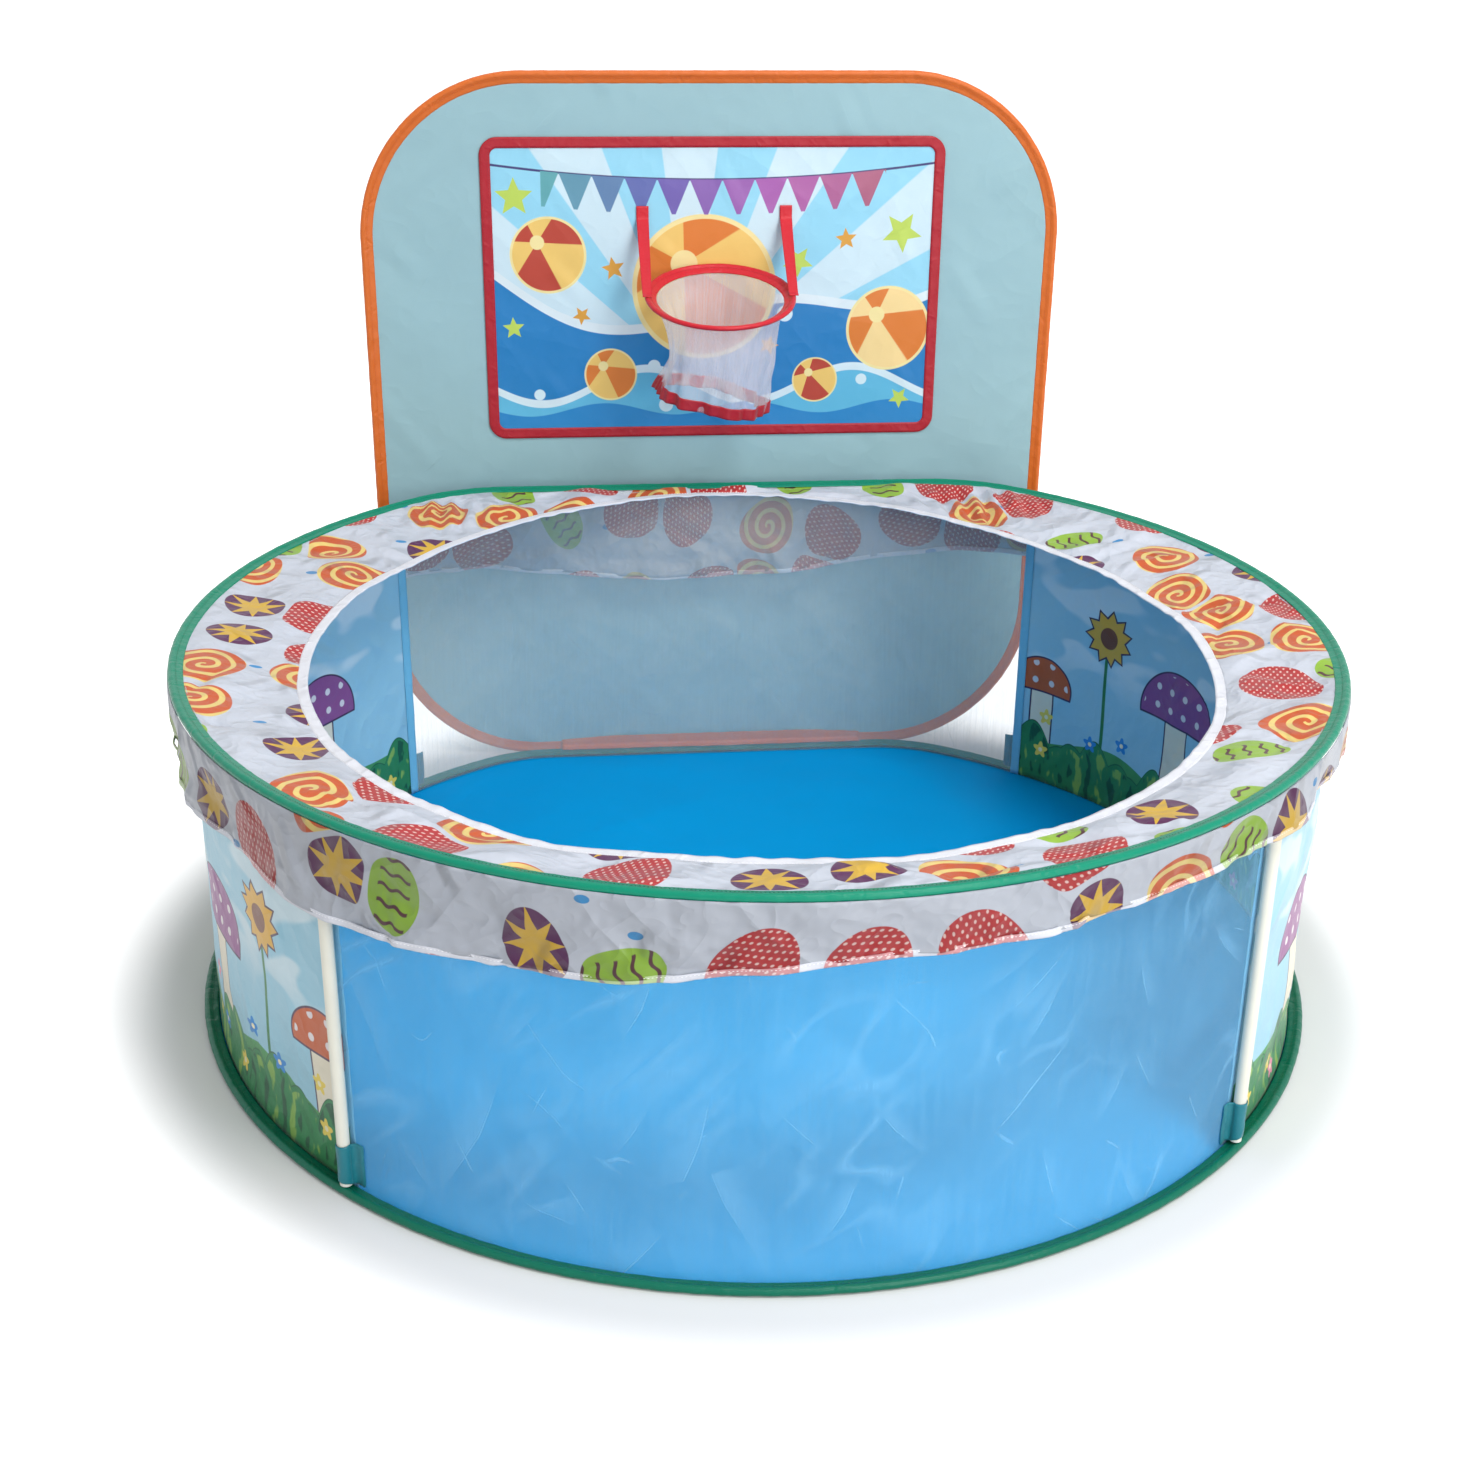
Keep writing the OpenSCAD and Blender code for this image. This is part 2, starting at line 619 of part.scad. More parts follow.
module hoop_strap(side)
    color("red") translate([side * hoop_line, 0, 0]) across(strap_w / 2)
        polygon(band(strap_line, cloth_t));

// down is the share of the net's depth below the hoop
function net_point(down, a, out) =
    let (drawn = net_top_r + (net_foot_r - net_top_r) * pow(down, net_taper),
        r = drawn + net_fold * cos(net_folds * a) * down + out,
        level = down * net_level,
        rise = net_top_r * sin(a) * (1 - level) - hoop_line)
    [r * cos(a) - net_skew * down,
        hoop_y + (r * sin(a) - hoop_line) * cos(hoop_droop),
        hoop_z + rise * sin(hoop_droop) - net_depth * down];

function net_grid(out, from, to, rows) = [for (row = [0:rows])
    [for (col = [0:net_cols - 1])
        net_point(from + (to - from) * row / rows, 360 * col / net_cols, out)]];

module net() color("white") cloth(net_grid(0, 0, 1, net_rows), net_grid(-cloth_t, 0, 1, net_rows), true);

module net_hem()
    color("red") cloth(net_grid(clear + cloth_t, 1 - net_hem_w / net_depth, 1, 2),
        net_grid(clear, 1 - net_hem_w / net_depth, 1, 2), true);

// ---- Assembly ----

floor_sheet();
bottom_ring_wire();
bottom_ring_ferrule();
bottom_ring_binding();
top_ring_wire();
top_ring_ferrule();
top_ring_binding();
pole(0);  // pole_front_left
pole(1);  // pole_front_right
pole(2);  // pole_back_left
pole(3);  // pole_back_right
pole_end_plugs();
lower_pocket(0);  // lower_pocket_front_left
lower_pocket(1);  // lower_pocket_front_right
lower_pocket(2);  // lower_pocket_back_left
lower_pocket(3);  // lower_pocket_back_right
upper_pocket(0);  // upper_pocket_front_left
upper_pocket(1);  // upper_pocket_front_right
upper_pocket(2);  // upper_pocket_back_left
upper_pocket(3);  // upper_pocket_back_right
corner_seam(0);  // corner_seam_front_left
corner_seam(1);  // corner_seam_front_right
corner_seam(2);  // corner_seam_back_left
corner_seam(3);  // corner_seam_back_right
front_mesh_wall();
back_mesh_wall();
left_side_panel();
right_side_panel();
top_cover();
top_cover_hem();
valance();
valance_hem();
board_hinge_tape();
board_sheet();
board_wire();
board_ferrule();
board_binding();
art_panel();
art_binding();
hoop_wire();
hoop_ferrule();
hoop_binding();
hoop_strap(-1);  // hoop_strap_left
hoop_strap(1);  // hoop_strap_right
net();
net_hem();
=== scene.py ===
"""The looks of a round pop-up ball pool with a backboard, a folding hoop and a net.

Metres, +Z up, +Y towards the backboard, the origin on the ground at the centre of the rings.
"""

import math

import bpy
import numpy as np
from mathutils import Matrix, Vector


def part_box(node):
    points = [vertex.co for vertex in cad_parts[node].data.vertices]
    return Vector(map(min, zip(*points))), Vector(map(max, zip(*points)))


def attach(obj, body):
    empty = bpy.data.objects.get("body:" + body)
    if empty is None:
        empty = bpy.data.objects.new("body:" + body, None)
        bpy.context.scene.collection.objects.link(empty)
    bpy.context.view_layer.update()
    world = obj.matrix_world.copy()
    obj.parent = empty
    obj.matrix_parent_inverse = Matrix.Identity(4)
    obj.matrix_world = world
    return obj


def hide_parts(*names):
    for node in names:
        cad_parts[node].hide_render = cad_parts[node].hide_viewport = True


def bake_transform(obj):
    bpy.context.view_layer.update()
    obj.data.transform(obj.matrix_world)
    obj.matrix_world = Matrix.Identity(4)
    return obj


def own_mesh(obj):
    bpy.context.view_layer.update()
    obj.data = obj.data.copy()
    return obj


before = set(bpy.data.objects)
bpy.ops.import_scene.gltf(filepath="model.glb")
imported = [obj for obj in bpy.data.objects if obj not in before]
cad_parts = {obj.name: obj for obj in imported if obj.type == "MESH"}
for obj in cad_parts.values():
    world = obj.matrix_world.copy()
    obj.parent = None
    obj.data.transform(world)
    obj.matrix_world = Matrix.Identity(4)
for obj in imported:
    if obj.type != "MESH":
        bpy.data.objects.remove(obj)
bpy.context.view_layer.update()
MM = 0.001
TURN = 2 * math.pi


# ---- Sizes, from the frame where it holds them ----

def middle(node, axis):
    low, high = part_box(node)
    return (low[axis] + high[axis]) / 2


RING_R = round(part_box("top_ring_binding")[1].x, 3)
TOP_FLAT = round(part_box("top_ring_binding")[1].y, 3)
BOTTOM_FLAT = round(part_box("bottom_ring_binding")[1].y, 3)
RING_Z = round(middle("top_ring_binding", 2), 4)
BLEND_R = 180 * MM            # joins the round of a ring to its straight rear
TAPE_R = 4 * MM               # half thickness of a tape round its wire
TAPE_W = 15 * MM
WALL_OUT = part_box("front_mesh_wall")[0].y + RING_R   # inset of the walls' outer faces
WALL_T = 1 * MM
WALL_R = RING_R - WALL_OUT - WALL_T / 2              # to the middle of a round wall's thickness
WALL_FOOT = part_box("front_mesh_wall")[0].z
WALL_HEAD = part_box("front_mesh_wall")[1].z
BACK_WALL_LOW = 1.6 * MM      # how far the rear wall's upper edge is below the others'
CLOTH_T = 0.5 * MM
CLOTH_IN = 11 * MM            # from a tape's outer edge to the edge of the cloth in it
SEAM_IN = 8.4 * MM            # from a tape's outer edge to its stitches
SEAM_OFF = 2.75 * MM          # from a tape's middle to the stitches on each face
POLES = {"front_left": math.radians(225), "front_right": math.radians(315),
         "back_left": math.radians(133), "back_right": math.radians(47)}
POLE_LINE = math.hypot(middle("pole_front_left", 0), middle("pole_front_left", 1))

MOUTH_X = 463 * MM            # half width of the cover's opening
MOUTH_FRONT = 495 * MM
MOUTH_REAR = 473 * MM
MOUTH_MID = -11 * MM          # where the opening is widest
FRONT_BEND = 2 / 2.1
REAR_BEND = 2 / 1.9
MOUTH_SAG = 20 * MM
MOUTH_REAR_SAG = 4 * MM
MOUTH_ROUND = 3.1             # round the opening
HEM_W = 12 * MM
HEM_LAP = 3 * MM              # how far the cover runs in under its hem
COVER_IN = 10 * MM            # from the ring's outer edge to the cover's

VALANCE_DROP = 74 * MM
# The waves of the valance's hem line: how many, how high, and the side in degrees where they hang lowest.
VALANCE_SWAYS = ((1, 26 * MM, 117), (2, 20 * MM, 78), (3, 10 * MM, 106), (7, 2.5 * MM, 90))
VALANCE_FLARE = 7 * MM
VALANCE_FOLD = 5 * MM
VALANCE_SLACK = 9 * MM        # how far the valance falls in between the poles
VALANCE_HEM = 6 * MM

BOARD_Y = middle("board_binding", 1)
BOARD_LOW, BOARD_HIGH = (corner.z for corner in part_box("board_binding"))
BOARD_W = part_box("board_binding")[1].x * 2
BOARD_H = BOARD_HIGH - BOARD_LOW
BOARD_Z = (BOARD_LOW + BOARD_HIGH) / 2
BOARD_CORNER = 200 * MM
BOARD_SWELL = 2.9 * MM        # most that its cloth stands back: folded down, it lies on the ground
ART_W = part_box("art_binding")[1].x * 2
ART_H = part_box("art_binding")[1].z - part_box("art_binding")[0].z
ART_Z = middle("art_binding", 2)
ART_CORNER = 22 * MM
ART_TAPE_W = 13 * MM
ART_CLOTH_IN = 8 * MM         # from its tape's outer edge to the edge of the picture panel's cloth
ART_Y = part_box("art_panel")[0].y

HOOP_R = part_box("hoop_binding")[1].x
HOOP_TAPE_R = 3 * MM
HOOP_TAPE_W = 15 * MM
HOOP_TAPE_HANG = math.radians(20)     # how far the net turns the tape down about the hoop's wire
HOOP_Y = 539.8 * MM           # the hoop's hinge line
HOOP_Z = 657 * MM
HOOP_DROOP = math.radians(13)
STRAP_W = 15 * MM
STRAP_RISE = 58 * MM
NET_DEPTH = 138 * MM
NET_FOOT_R = 66 * MM
NET_SKEW = 12 * MM
NET_TILT = (8 * MM, 14 * MM, 9 * MM)      # how far its foot is lifted: all of it, at its left, at its front
NET_HEM = 15 * MM


# ---- Paths and waves ----

def reach(flat, inset, a):
    """Distance from the centre to a ring's path at polar angle a, drawn in by inset."""
    off = np.abs((a - math.pi / 2 + math.pi) % TURN - math.pi)
    cy = flat - BLEND_R
    cx = math.sqrt((RING_R - BLEND_R) ** 2 - cy ** 2)
    straight = (flat - inset) / np.maximum(np.cos(off), 0.1)
    along = cx * np.sin(off) + cy * np.cos(off)
    bent = along + np.sqrt(np.maximum(along ** 2 - cx ** 2 - cy ** 2 + (BLEND_R - inset) ** 2, 0))
    return np.where(off >= math.atan2(cx, cy), RING_R - inset,
                    np.where(off <= math.atan2(cx, flat - inset), straight, bent))


def points(*parts):
    return np.stack(np.broadcast_arrays(*parts), axis=-1).astype(float)


def polar(r, a, z):
    return points(r * np.cos(a), r * np.sin(a), z)


def grid(rows, cols, end=True):
    """Row and column shares from 0 to 1; without end the last column stops short, for a loop."""
    down, along = np.meshgrid(np.linspace(0, 1, rows), np.linspace(0, 1, cols, endpoint=end), indexing="ij")
    return down, along


def waves(place, length, seed, count=9):
    """Smooth waves of about that length, from -1 to 1, at points in space."""
    rng = np.random.default_rng(seed)
    ways = rng.normal(size=(count, place.shape[-1]))
    ways /= np.linalg.norm(ways, axis=1)[:, None]
    pace = TURN / length * rng.uniform(0.7, 1.5, count)
    phase = rng.uniform(0, TURN, count)
    return np.sin(place @ (ways * pace[:, None]).T + phase).sum(-1) / math.sqrt(count)


def creases(uv, seed, count, span, width, around=None):
    """Sharp straight folds scattered over a sheet, from about -1 to 1; around is its loop length."""
    rng = np.random.default_rng(seed)
    low, high = uv.reshape(-1, 2).min(0), uv.reshape(-1, 2).max(0)
    total = np.zeros(uv.shape[:2])
    for _ in range(count):
        gap = uv - rng.uniform(low, high)
        if around:
            gap[..., 0] = (gap[..., 0] + around / 2) % around - around / 2
        turn = rng.uniform(0, math.pi)
        along = gap @ [math.cos(turn), math.sin(turn)]
        across = np.abs(gap @ [-math.sin(turn), math.cos(turn)])
        total += rng.uniform(-1, 1) * np.exp(-across / width - (along / span / rng.uniform(0.4, 1)) ** 2)
    return total


def window(share, edge):
    """0 at both ends of a share from 0 to 1, rising to 1 within edge."""
    rise = np.clip(np.minimum(share, 1 - share) / edge, 0, 1)
    return rise * rise * (3 - 2 * rise)


def closed(line):
    return np.concatenate([line, line[:1]])


def looped(uv, length):
    """A loop's UV grid with its last column, one whole length on from the first."""
    return np.concatenate([uv, uv[:, :1] + [length, 0]], axis=1)


def run_length(line):
    """Distance along a line of points, starting at 0."""
    steps = np.linalg.norm(np.diff(line, axis=0), axis=1)
    return np.concatenate([[0], np.cumsum(steps)])


# ---- Meshes ----

def mesh_object(name, verts, faces, uv):
    mesh = bpy.data.meshes.new(name)
    mesh.from_pydata(verts.reshape(-1, 3).tolist(), [], faces.tolist())
    layer = mesh.uv_layers.new(name="cloth")
    layer.data.foreach_set("uv", uv.astype(np.float32).ravel())
    mesh.polygons.foreach_set("use_smooth", np.ones(len(faces), bool))
    obj = bpy.data.objects.new(name, mesh)
    bpy.context.scene.collection.objects.link(obj)
    return obj


def cloth(name, mid, uv, thick=CLOTH_T, loop=False):
    """A closed sheet about the grid of points mid. uv is in metres, with one column more on a loop."""
    rows, cols = mid.shape[:2]
    if loop:
        along = np.roll(mid, -1, 1) - np.roll(mid, 1, 1)
    else:
        along = np.gradient(mid, axis=1)
    normal = np.cross(along, np.gradient(mid, axis=0))
    normal /= np.maximum(np.linalg.norm(normal, axis=-1), 1e-12)[..., None]
    verts = np.stack([mid + normal * thick / 2, mid - normal * thick / 2])
    spans = cols if loop else cols - 1
    r, c = (part.ravel() for part in np.meshgrid(np.arange(rows - 1), np.arange(spans), indexing="ij"))
    cc, rr = np.arange(spans), np.arange(rows - 1)
    last = rows - 1
    corners = [
        [(0, r, c), (0, r, c + 1), (0, r + 1, c + 1), (0, r + 1, c)],
        [(1, r, c), (1, r + 1, c), (1, r + 1, c + 1), (1, r, c + 1)],
        [(0, 0, cc), (1, 0, cc), (1, 0, cc + 1), (0, 0, cc + 1)],
        [(0, last, cc), (0, last, cc + 1), (1, last, cc + 1), (1, last, cc)]]
    if not loop:
        corners += [
            [(0, rr, 0), (0, rr + 1, 0), (1, rr + 1, 0), (1, rr, 0)],
            [(0, rr, cols - 1), (1, rr, cols - 1), (1, rr + 1, cols - 1), (0, rr + 1, cols - 1)]]
    faces, places = [], []
    for face in corners:
        whole = [np.broadcast_arrays(*corner) for corner in face]
        faces.append(np.stack([(s * rows + i) * cols + j % cols for s, i, j in whole], -1))
        places.append(np.stack([uv[i, j] for _, i, j in whole], 1))
    return mesh_object(name, verts, np.concatenate(faces), np.concatenate(places))


def vertices(obj):
    flat = np.zeros(len(obj.data.vertices) * 3, np.float32)
    obj.data.vertices.foreach_get("co", flat)
    return flat.reshape(-1, 3).astype(float)


def set_vertices(obj, place):
    obj.data.vertices.foreach_set("co", place.astype(np.float32).ravel())
    obj.data.update()


def sheet_area(outline):
    """Area inside an outline of 2-D points."""
    x, y = outline[:, 0], outline[:, 1]
    return float(abs((x * np.roll(y, -1) - y * np.roll(x, -1)).sum()) / 2)


# ---- Geometry Nodes: wrapped edges and stitches ----

def tree_of(name, sockets):
    tree = bpy.data.node_groups.new(name, "GeometryNodeTree")
    tree.interface.new_socket("Geometry", in_out="INPUT", socket_type="NodeSocketGeometry")
    for label, kind in sockets:
        tree.interface.new_socket(label, in_out="INPUT", socket_type=kind)
    tree.interface.new_socket("Geometry", in_out="OUTPUT", socket_type="NodeSocketGeometry")
    return tree


def step(tree, kind, settings=None, **inputs):
    """Adds a node; an input's name has _ for a space, and its value is a socket or a constant."""
    made = tree.nodes.new(kind)
    for key, value in (settings or {}).items():
        setattr(made, key, value)
    for key, value in inputs.items():
        socket = next(s for s in made.inputs if s.enabled and s.name == key.replace("_", " "))
        if isinstance(value, bpy.types.NodeSocket):
            tree.links.new(value, socket)
        else:
            socket.default_value = value
    return made


def bound_edge_tree():
    """Sweeps a flat tape profile along a path, puckers it and lays it out in metres."""
    tree = tree_of("bound_edge", [("Profile", "NodeSocketObject"), ("Pucker", "NodeSocketFloat"),
                                  ("Pucker Scale", "NodeSocketFloat"), ("Material", "NodeSocketMaterial")])
    given = tree.nodes.new("NodeGroupInput").outputs
    store = "GeometryNodeStoreNamedAttribute"
    length = tree.nodes.new("GeometryNodeSplineParameter").outputs["Length"]
    path = step(tree, store, Geometry=given["Geometry"], Name="along", Value=length)
    shape = step(tree, "GeometryNodeObjectInfo", Object=given["Profile"])
    profile = step(tree, store, Geometry=shape.outputs["Geometry"], Name="across", Value=length)
    swept = step(tree, "GeometryNodeCurveToMesh", Curve=path.outputs[0], Profile_Curve=profile.outputs[0])
    along = step(tree, "GeometryNodeInputNamedAttribute", Name="along").outputs[0]
    across = step(tree, "GeometryNodeInputNamedAttribute", Name="across").outputs[0]
    both = step(tree, "ShaderNodeCombineXYZ", X=along, Y=across)
    mapped = step(tree, store, {"data_type": "FLOAT2", "domain": "CORNER"},
                  Geometry=swept.outputs[0], Name="cloth", Value=both.outputs[0])
    joined = step(tree, "GeometryNodeMergeByDistance", Geometry=mapped.outputs[0], Distance=1e-5)
    noise = step(tree, "ShaderNodeTexNoise", Scale=given["Pucker Scale"], Detail=2.0)
    centred = step(tree, "ShaderNodeMath", {"operation": "SUBTRACT"})
    tree.links.new(noise.outputs["Fac"], centred.inputs[0])
    centred.inputs[1].default_value = 0.5
    deep = step(tree, "ShaderNodeMath", {"operation": "MULTIPLY"})
    tree.links.new(centred.outputs[0], deep.inputs[0])
    tree.links.new(given["Pucker"], deep.inputs[1])
    push = step(tree, "ShaderNodeVectorMath", {"operation": "SCALE"}, Scale=deep.outputs[0])
    tree.links.new(tree.nodes.new("GeometryNodeInputNormal").outputs[0], push.inputs[0])
    moved = step(tree, "GeometryNodeSetPosition", Geometry=joined.outputs[0], Offset=push.outputs[0])
    real = step(tree, "GeometryNodeRealizeInstances", Geometry=moved.outputs[0])
    painted = step(tree, "GeometryNodeSetMaterial", Geometry=real.outputs[0], Material=given["Material"])
    tree.links.new(painted.outputs[0], tree.nodes.new("NodeGroupOutput").inputs[0])
    return tree


def stitch_tree():
    """Lays short threads end to end along each line of stitches."""
    tree = tree_of("stitches", [("Pitch", "NodeSocketFloat"), ("Thread", "NodeSocketFloat"),
                                ("Stretch", "NodeSocketFloat"), ("Material", "NodeSocketMaterial")])
    given = tree.nodes.new("NodeGroupInput").outputs
    spots = step(tree, "GeometryNodeCurveToPoints", {"mode": "LENGTH"},
                 Curve=given["Geometry"], Length=given["Pitch"])
    thread = step(tree, "GeometryNodeMeshUVSphere", Segments=6, Rings=4, Radius=given["Thread"])
    smooth = step(tree, "GeometryNodeSetShadeSmooth", Geometry=thread.outputs["Mesh"])
    stretch = step(tree, "ShaderNodeCombineXYZ", X=1.0, Y=1.0, Z=given["Stretch"])
    laid = step(tree, "GeometryNodeInstanceOnPoints", Points=spots.outputs["Points"],
                Instance=smooth.outputs[0], Rotation=spots.outputs["Rotation"], Scale=stretch.outputs[0])
    real = step(tree, "GeometryNodeRealizeInstances", Geometry=laid.outputs[0])
    painted = step(tree, "GeometryNodeSetMaterial", Geometry=real.outputs[0], Material=given["Material"])
    tree.links.new(painted.outputs[0], tree.nodes.new("NodeGroupOutput").inputs[0])
    return tree


def curve_object(name, lines, cyclic=False):
    data = bpy.data.curves.new(name, "CURVE")
    data.dimensions = "3D"
    data.twist_mode = "Z_UP"
    for line in lines:
        spline = data.splines.new("POLY")
        spline.points.add(len(line) - 1)
        whole = np.concatenate([line, np.ones((len(line), 1))], axis=1)
        spline.points.foreach_set("co", whole.astype(np.float32).ravel())
        spline.use_cyclic_u = cyclic
    obj = bpy.data.objects.new(name, data)
    bpy.context.scene.collection.objects.link(obj)
    return obj


def run_tree(source, tree, name, **inputs):
    """The tree's result on a curve as a plain mesh object; the curve is removed."""
    modifier = source.modifiers.new("make", "NODES")
    modifier.node_group = tree
    for item in tree.interface.items_tree:
        key = item.name.replace(" ", "_")
        if item.in_out == "INPUT" and key in inputs:
            modifier[item.identifier] = inputs[key]
    evaluated = source.evaluated_get(bpy.context.evaluated_depsgraph_get())
    mesh = bpy.data.meshes.new_from_object(evaluated)
    mesh.name = name
    obj = bpy.data.objects.new(name, mesh)
    bpy.context.scene.collection.objects.link(obj)
    bpy.data.objects.remove(source)
    return obj


BOUND_EDGE = bound_edge_tree()
STITCHES = stitch_tree()
STITCH_PITCH = 3.4 * MM
STITCH_STRETCH = 3.6          # a stitch's length over its thickness
THREAD_R = 0.26 * MM


def tape_outline(r, w, hang):
    """Tape profile: round the wire at x = -r, its two leaves ending at x = -w, turned down by hang."""
    bend = np.linspace(math.radians(125), math.radians(-125), 17)
    round_part = points(-r + r * np.cos(bend), r * np.sin(bend))
    leaf = np.linspace(0, 1, 5)[1:]
    tail = -r + r * math.cos(bend[-1])
    x = tail + (0.75 * MM - w - tail) * leaf
    y = -r * 0.82 + (r * 0.82 - 0.8 * MM) * leaf ** 0.6
    lower = points(x, y)
    upper = points(x, -y)[::-1]
    tip = points([-w, -w], [-0.35 * MM, 0.35 * MM])
    outline = np.concatenate([round_part, lower, tip, upper])
    return hung(outline, r, hang)


def hung(outline, r, hang):
    """Profile points turned about the wire at x = -r, so that the leaves' end goes down."""
    cos, sin = math.cos(hang), math.sin(hang)
    x, z = outline[..., 0] + r, outline[..., 1]
    return points(x * cos - z * sin - r, x * sin + z * cos)


def bound_edge(name, path, r, w, material, pucker=1.1 * MM, fineness=70.0, hang=0.0):
    """A tape wrapped round a wire along a closed path in the XY plane, seen from above anticlockwise."""
    outline = tape_outline(r, w, hang)
    profile = curve_object("profile", [points(outline[:, 0], outline[:, 1], 0)], cyclic=True)
    source = curve_object("path", seam_lines(path, [0]))
    obj = run_tree(source, BOUND_EDGE, name, Profile=profile, Pucker=pucker,
                   Pucker_Scale=fineness, Material=material)
    bpy.data.objects.remove(profile)
    return obj


def stitches(name, lines, material):
    return run_tree(curve_object("seam", lines), STITCHES, name, Pitch=STITCH_PITCH, Thread=THREAD_R,
                    Stretch=STITCH_STRETCH, Material=material)


def place(obj, matrix):
    """Moves a finished mesh, leaving its object at the origin."""
    obj.data.transform(matrix)
    obj.data.update()
    return obj


# ---- Shader fields: numbers and vectors that vary over a surface ----

class Field:
    """A socket in a shader tree, with arithmetic that adds Math nodes."""

    def __init__(self, tree, socket):
        self.tree = tree
        self.socket = socket

    def __add__(self, other):
        return calc(self.tree, "ADD", self, other)

    def __radd__(self, other):
        return calc(self.tree, "ADD", other, self)

    def __sub__(self, other):
        return calc(self.tree, "SUBTRACT", self, other)

    def __rsub__(self, other):
        return calc(self.tree, "SUBTRACT", other, self)

    def __mul__(self, other):
        return calc(self.tree, "MULTIPLY", self, other)

    def __rmul__(self, other):
        return calc(self.tree, "MULTIPLY", other, self)

    def __truediv__(self, other):
        return calc(self.tree, "DIVIDE", self, other)

    def __rtruediv__(self, other):
        return calc(self.tree, "DIVIDE", other, self)

    def __neg__(self):
        return calc(self.tree, "SUBTRACT", 0.0, self)


def plug(tree, value, socket):
    if isinstance(value, Field):
        tree.links.new(value.socket, socket)
    elif socket.type == "VECTOR":
        socket.default_value = value[:3]
    else:
        socket.default_value = value


def calc(tree, operation, *values):
    node = tree.nodes.new("ShaderNodeMath")
    node.operation = operation
    for value, socket in zip(values, node.inputs):
        plug(tree, value, socket)
    return Field(tree, node.outputs[0])


def vector_calc(tree, operation, first, second):
    node = tree.nodes.new("ShaderNodeVectorMath")
    node.operation = operation
    plug(tree, first, node.inputs[0])
    plug(tree, second, node.inputs["Scale"] if operation == "SCALE" else node.inputs[1])
    return Field(tree, node.outputs[0])


def wave(angle):
    return calc(angle.tree, "SINE", angle)


def size(value):
    return calc(value.tree, "ABSOLUTE", value)


def most(first, second):
    return calc(first.tree, "MAXIMUM", first, second)


def rise(value, start, end):
    """0 below start, 1 above end, smooth between."""
    node = value.tree.nodes.new("ShaderNodeMapRange")
    node.interpolation_type = "SMOOTHSTEP"
    plug(value.tree, value, node.inputs[0])
    plug(value.tree, start, node.inputs[1])
    plug(value.tree, end, node.inputs[2])
    return Field(value.tree, node.outputs[0])


def within(distance, soft=0.5 * MM):
    """1 where a distance is below 0, with an edge as soft as printed ink."""
    return 1 - rise(distance, -soft, soft)


def split(vector):
    node = vector.tree.nodes.new("ShaderNodeSeparateXYZ")
    plug(vector.tree, vector, node.inputs[0])
    return [Field(vector.tree, out) for out in node.outputs]


def join(tree, x, y, z=0.0):
    node = tree.nodes.new("ShaderNodeCombineXYZ")
    for value, socket in zip((x, y, z), node.inputs):
        plug(tree, value, socket)
    return Field(tree, node.outputs[0])


def far(x, y):
    return calc(x.tree, "SQRT", x * x + y * y)


def bearing(x, y):
    return calc(x.tree, "ARCTAN2", y, x)


def mix(under, over, mask):
    tree = mask.tree
    node = tree.nodes.new("ShaderNodeMix")
    node.data_type = "RGBA"
    plug(tree, mask, node.inputs[0])
    plug(tree, under, node.inputs[6])
    plug(tree, over, node.inputs[7])
    return Field(tree, node.outputs[2])


def noise(vector, scale, detail):
    node = vector.tree.nodes.new("ShaderNodeTexNoise")
    plug(vector.tree, vector, node.inputs["Vector"])
    plug(vector.tree, scale, node.inputs["Scale"])
    node.inputs["Detail"].default_value = detail
    return Field(vector.tree, node.outputs["Fac"])


def cells(vector, scale, randomness):
    """Scattered spots: where this point lies from its own spot, in cells, and the spot's random colour."""
    tree = vector.tree
    node = tree.nodes.new("ShaderNodeTexVoronoi")
    node.voronoi_dimensions = "2D"
    plug(tree, vector, node.inputs["Vector"])
    plug(tree, scale, node.inputs["Scale"])
    node.inputs["Randomness"].default_value = randomness
    spot = Field(tree, node.outputs["Position"])
    return vector_calc(tree, "SUBTRACT", vector, spot), Field(tree, node.outputs["Color"])


def edge_gap(vector, scale, randomness):
    """Distance to the nearest border between scattered cells, in cells."""
    node = vector.tree.nodes.new("ShaderNodeTexVoronoi")
    node.feature = "DISTANCE_TO_EDGE"
    node.voronoi_dimensions = "2D"
    plug(vector.tree, vector, node.inputs["Vector"])
    plug(vector.tree, scale, node.inputs["Scale"])
    node.inputs["Randomness"].default_value = randomness
    return Field(vector.tree, node.outputs["Distance"])


def turned(vector, spin, stretch):
    """A place seen along turned axes, with what is drawn on it stretched along each."""
    node = vector.tree.nodes.new("ShaderNodeMapping")
    node.vector_type = "TEXTURE"
    plug(vector.tree, vector, node.inputs["Vector"])
    node.inputs["Rotation"].default_value = spin
    node.inputs["Scale"].default_value = stretch
    return Field(vector.tree, node.outputs[0])


def shade(r, g, b):
    """An sRGB colour of 0 to 255 as a linear colour."""
    shares = (r / 255, g / 255, b / 255)
    return (*(c / 12.92 if c <= 0.04045 else ((c + 0.055) / 1.055) ** 2.4 for c in shares), 1.0)


WHITE = shade(212, 218, 230)
CREAM = shade(244, 226, 160)


# ---- Shader groups ----

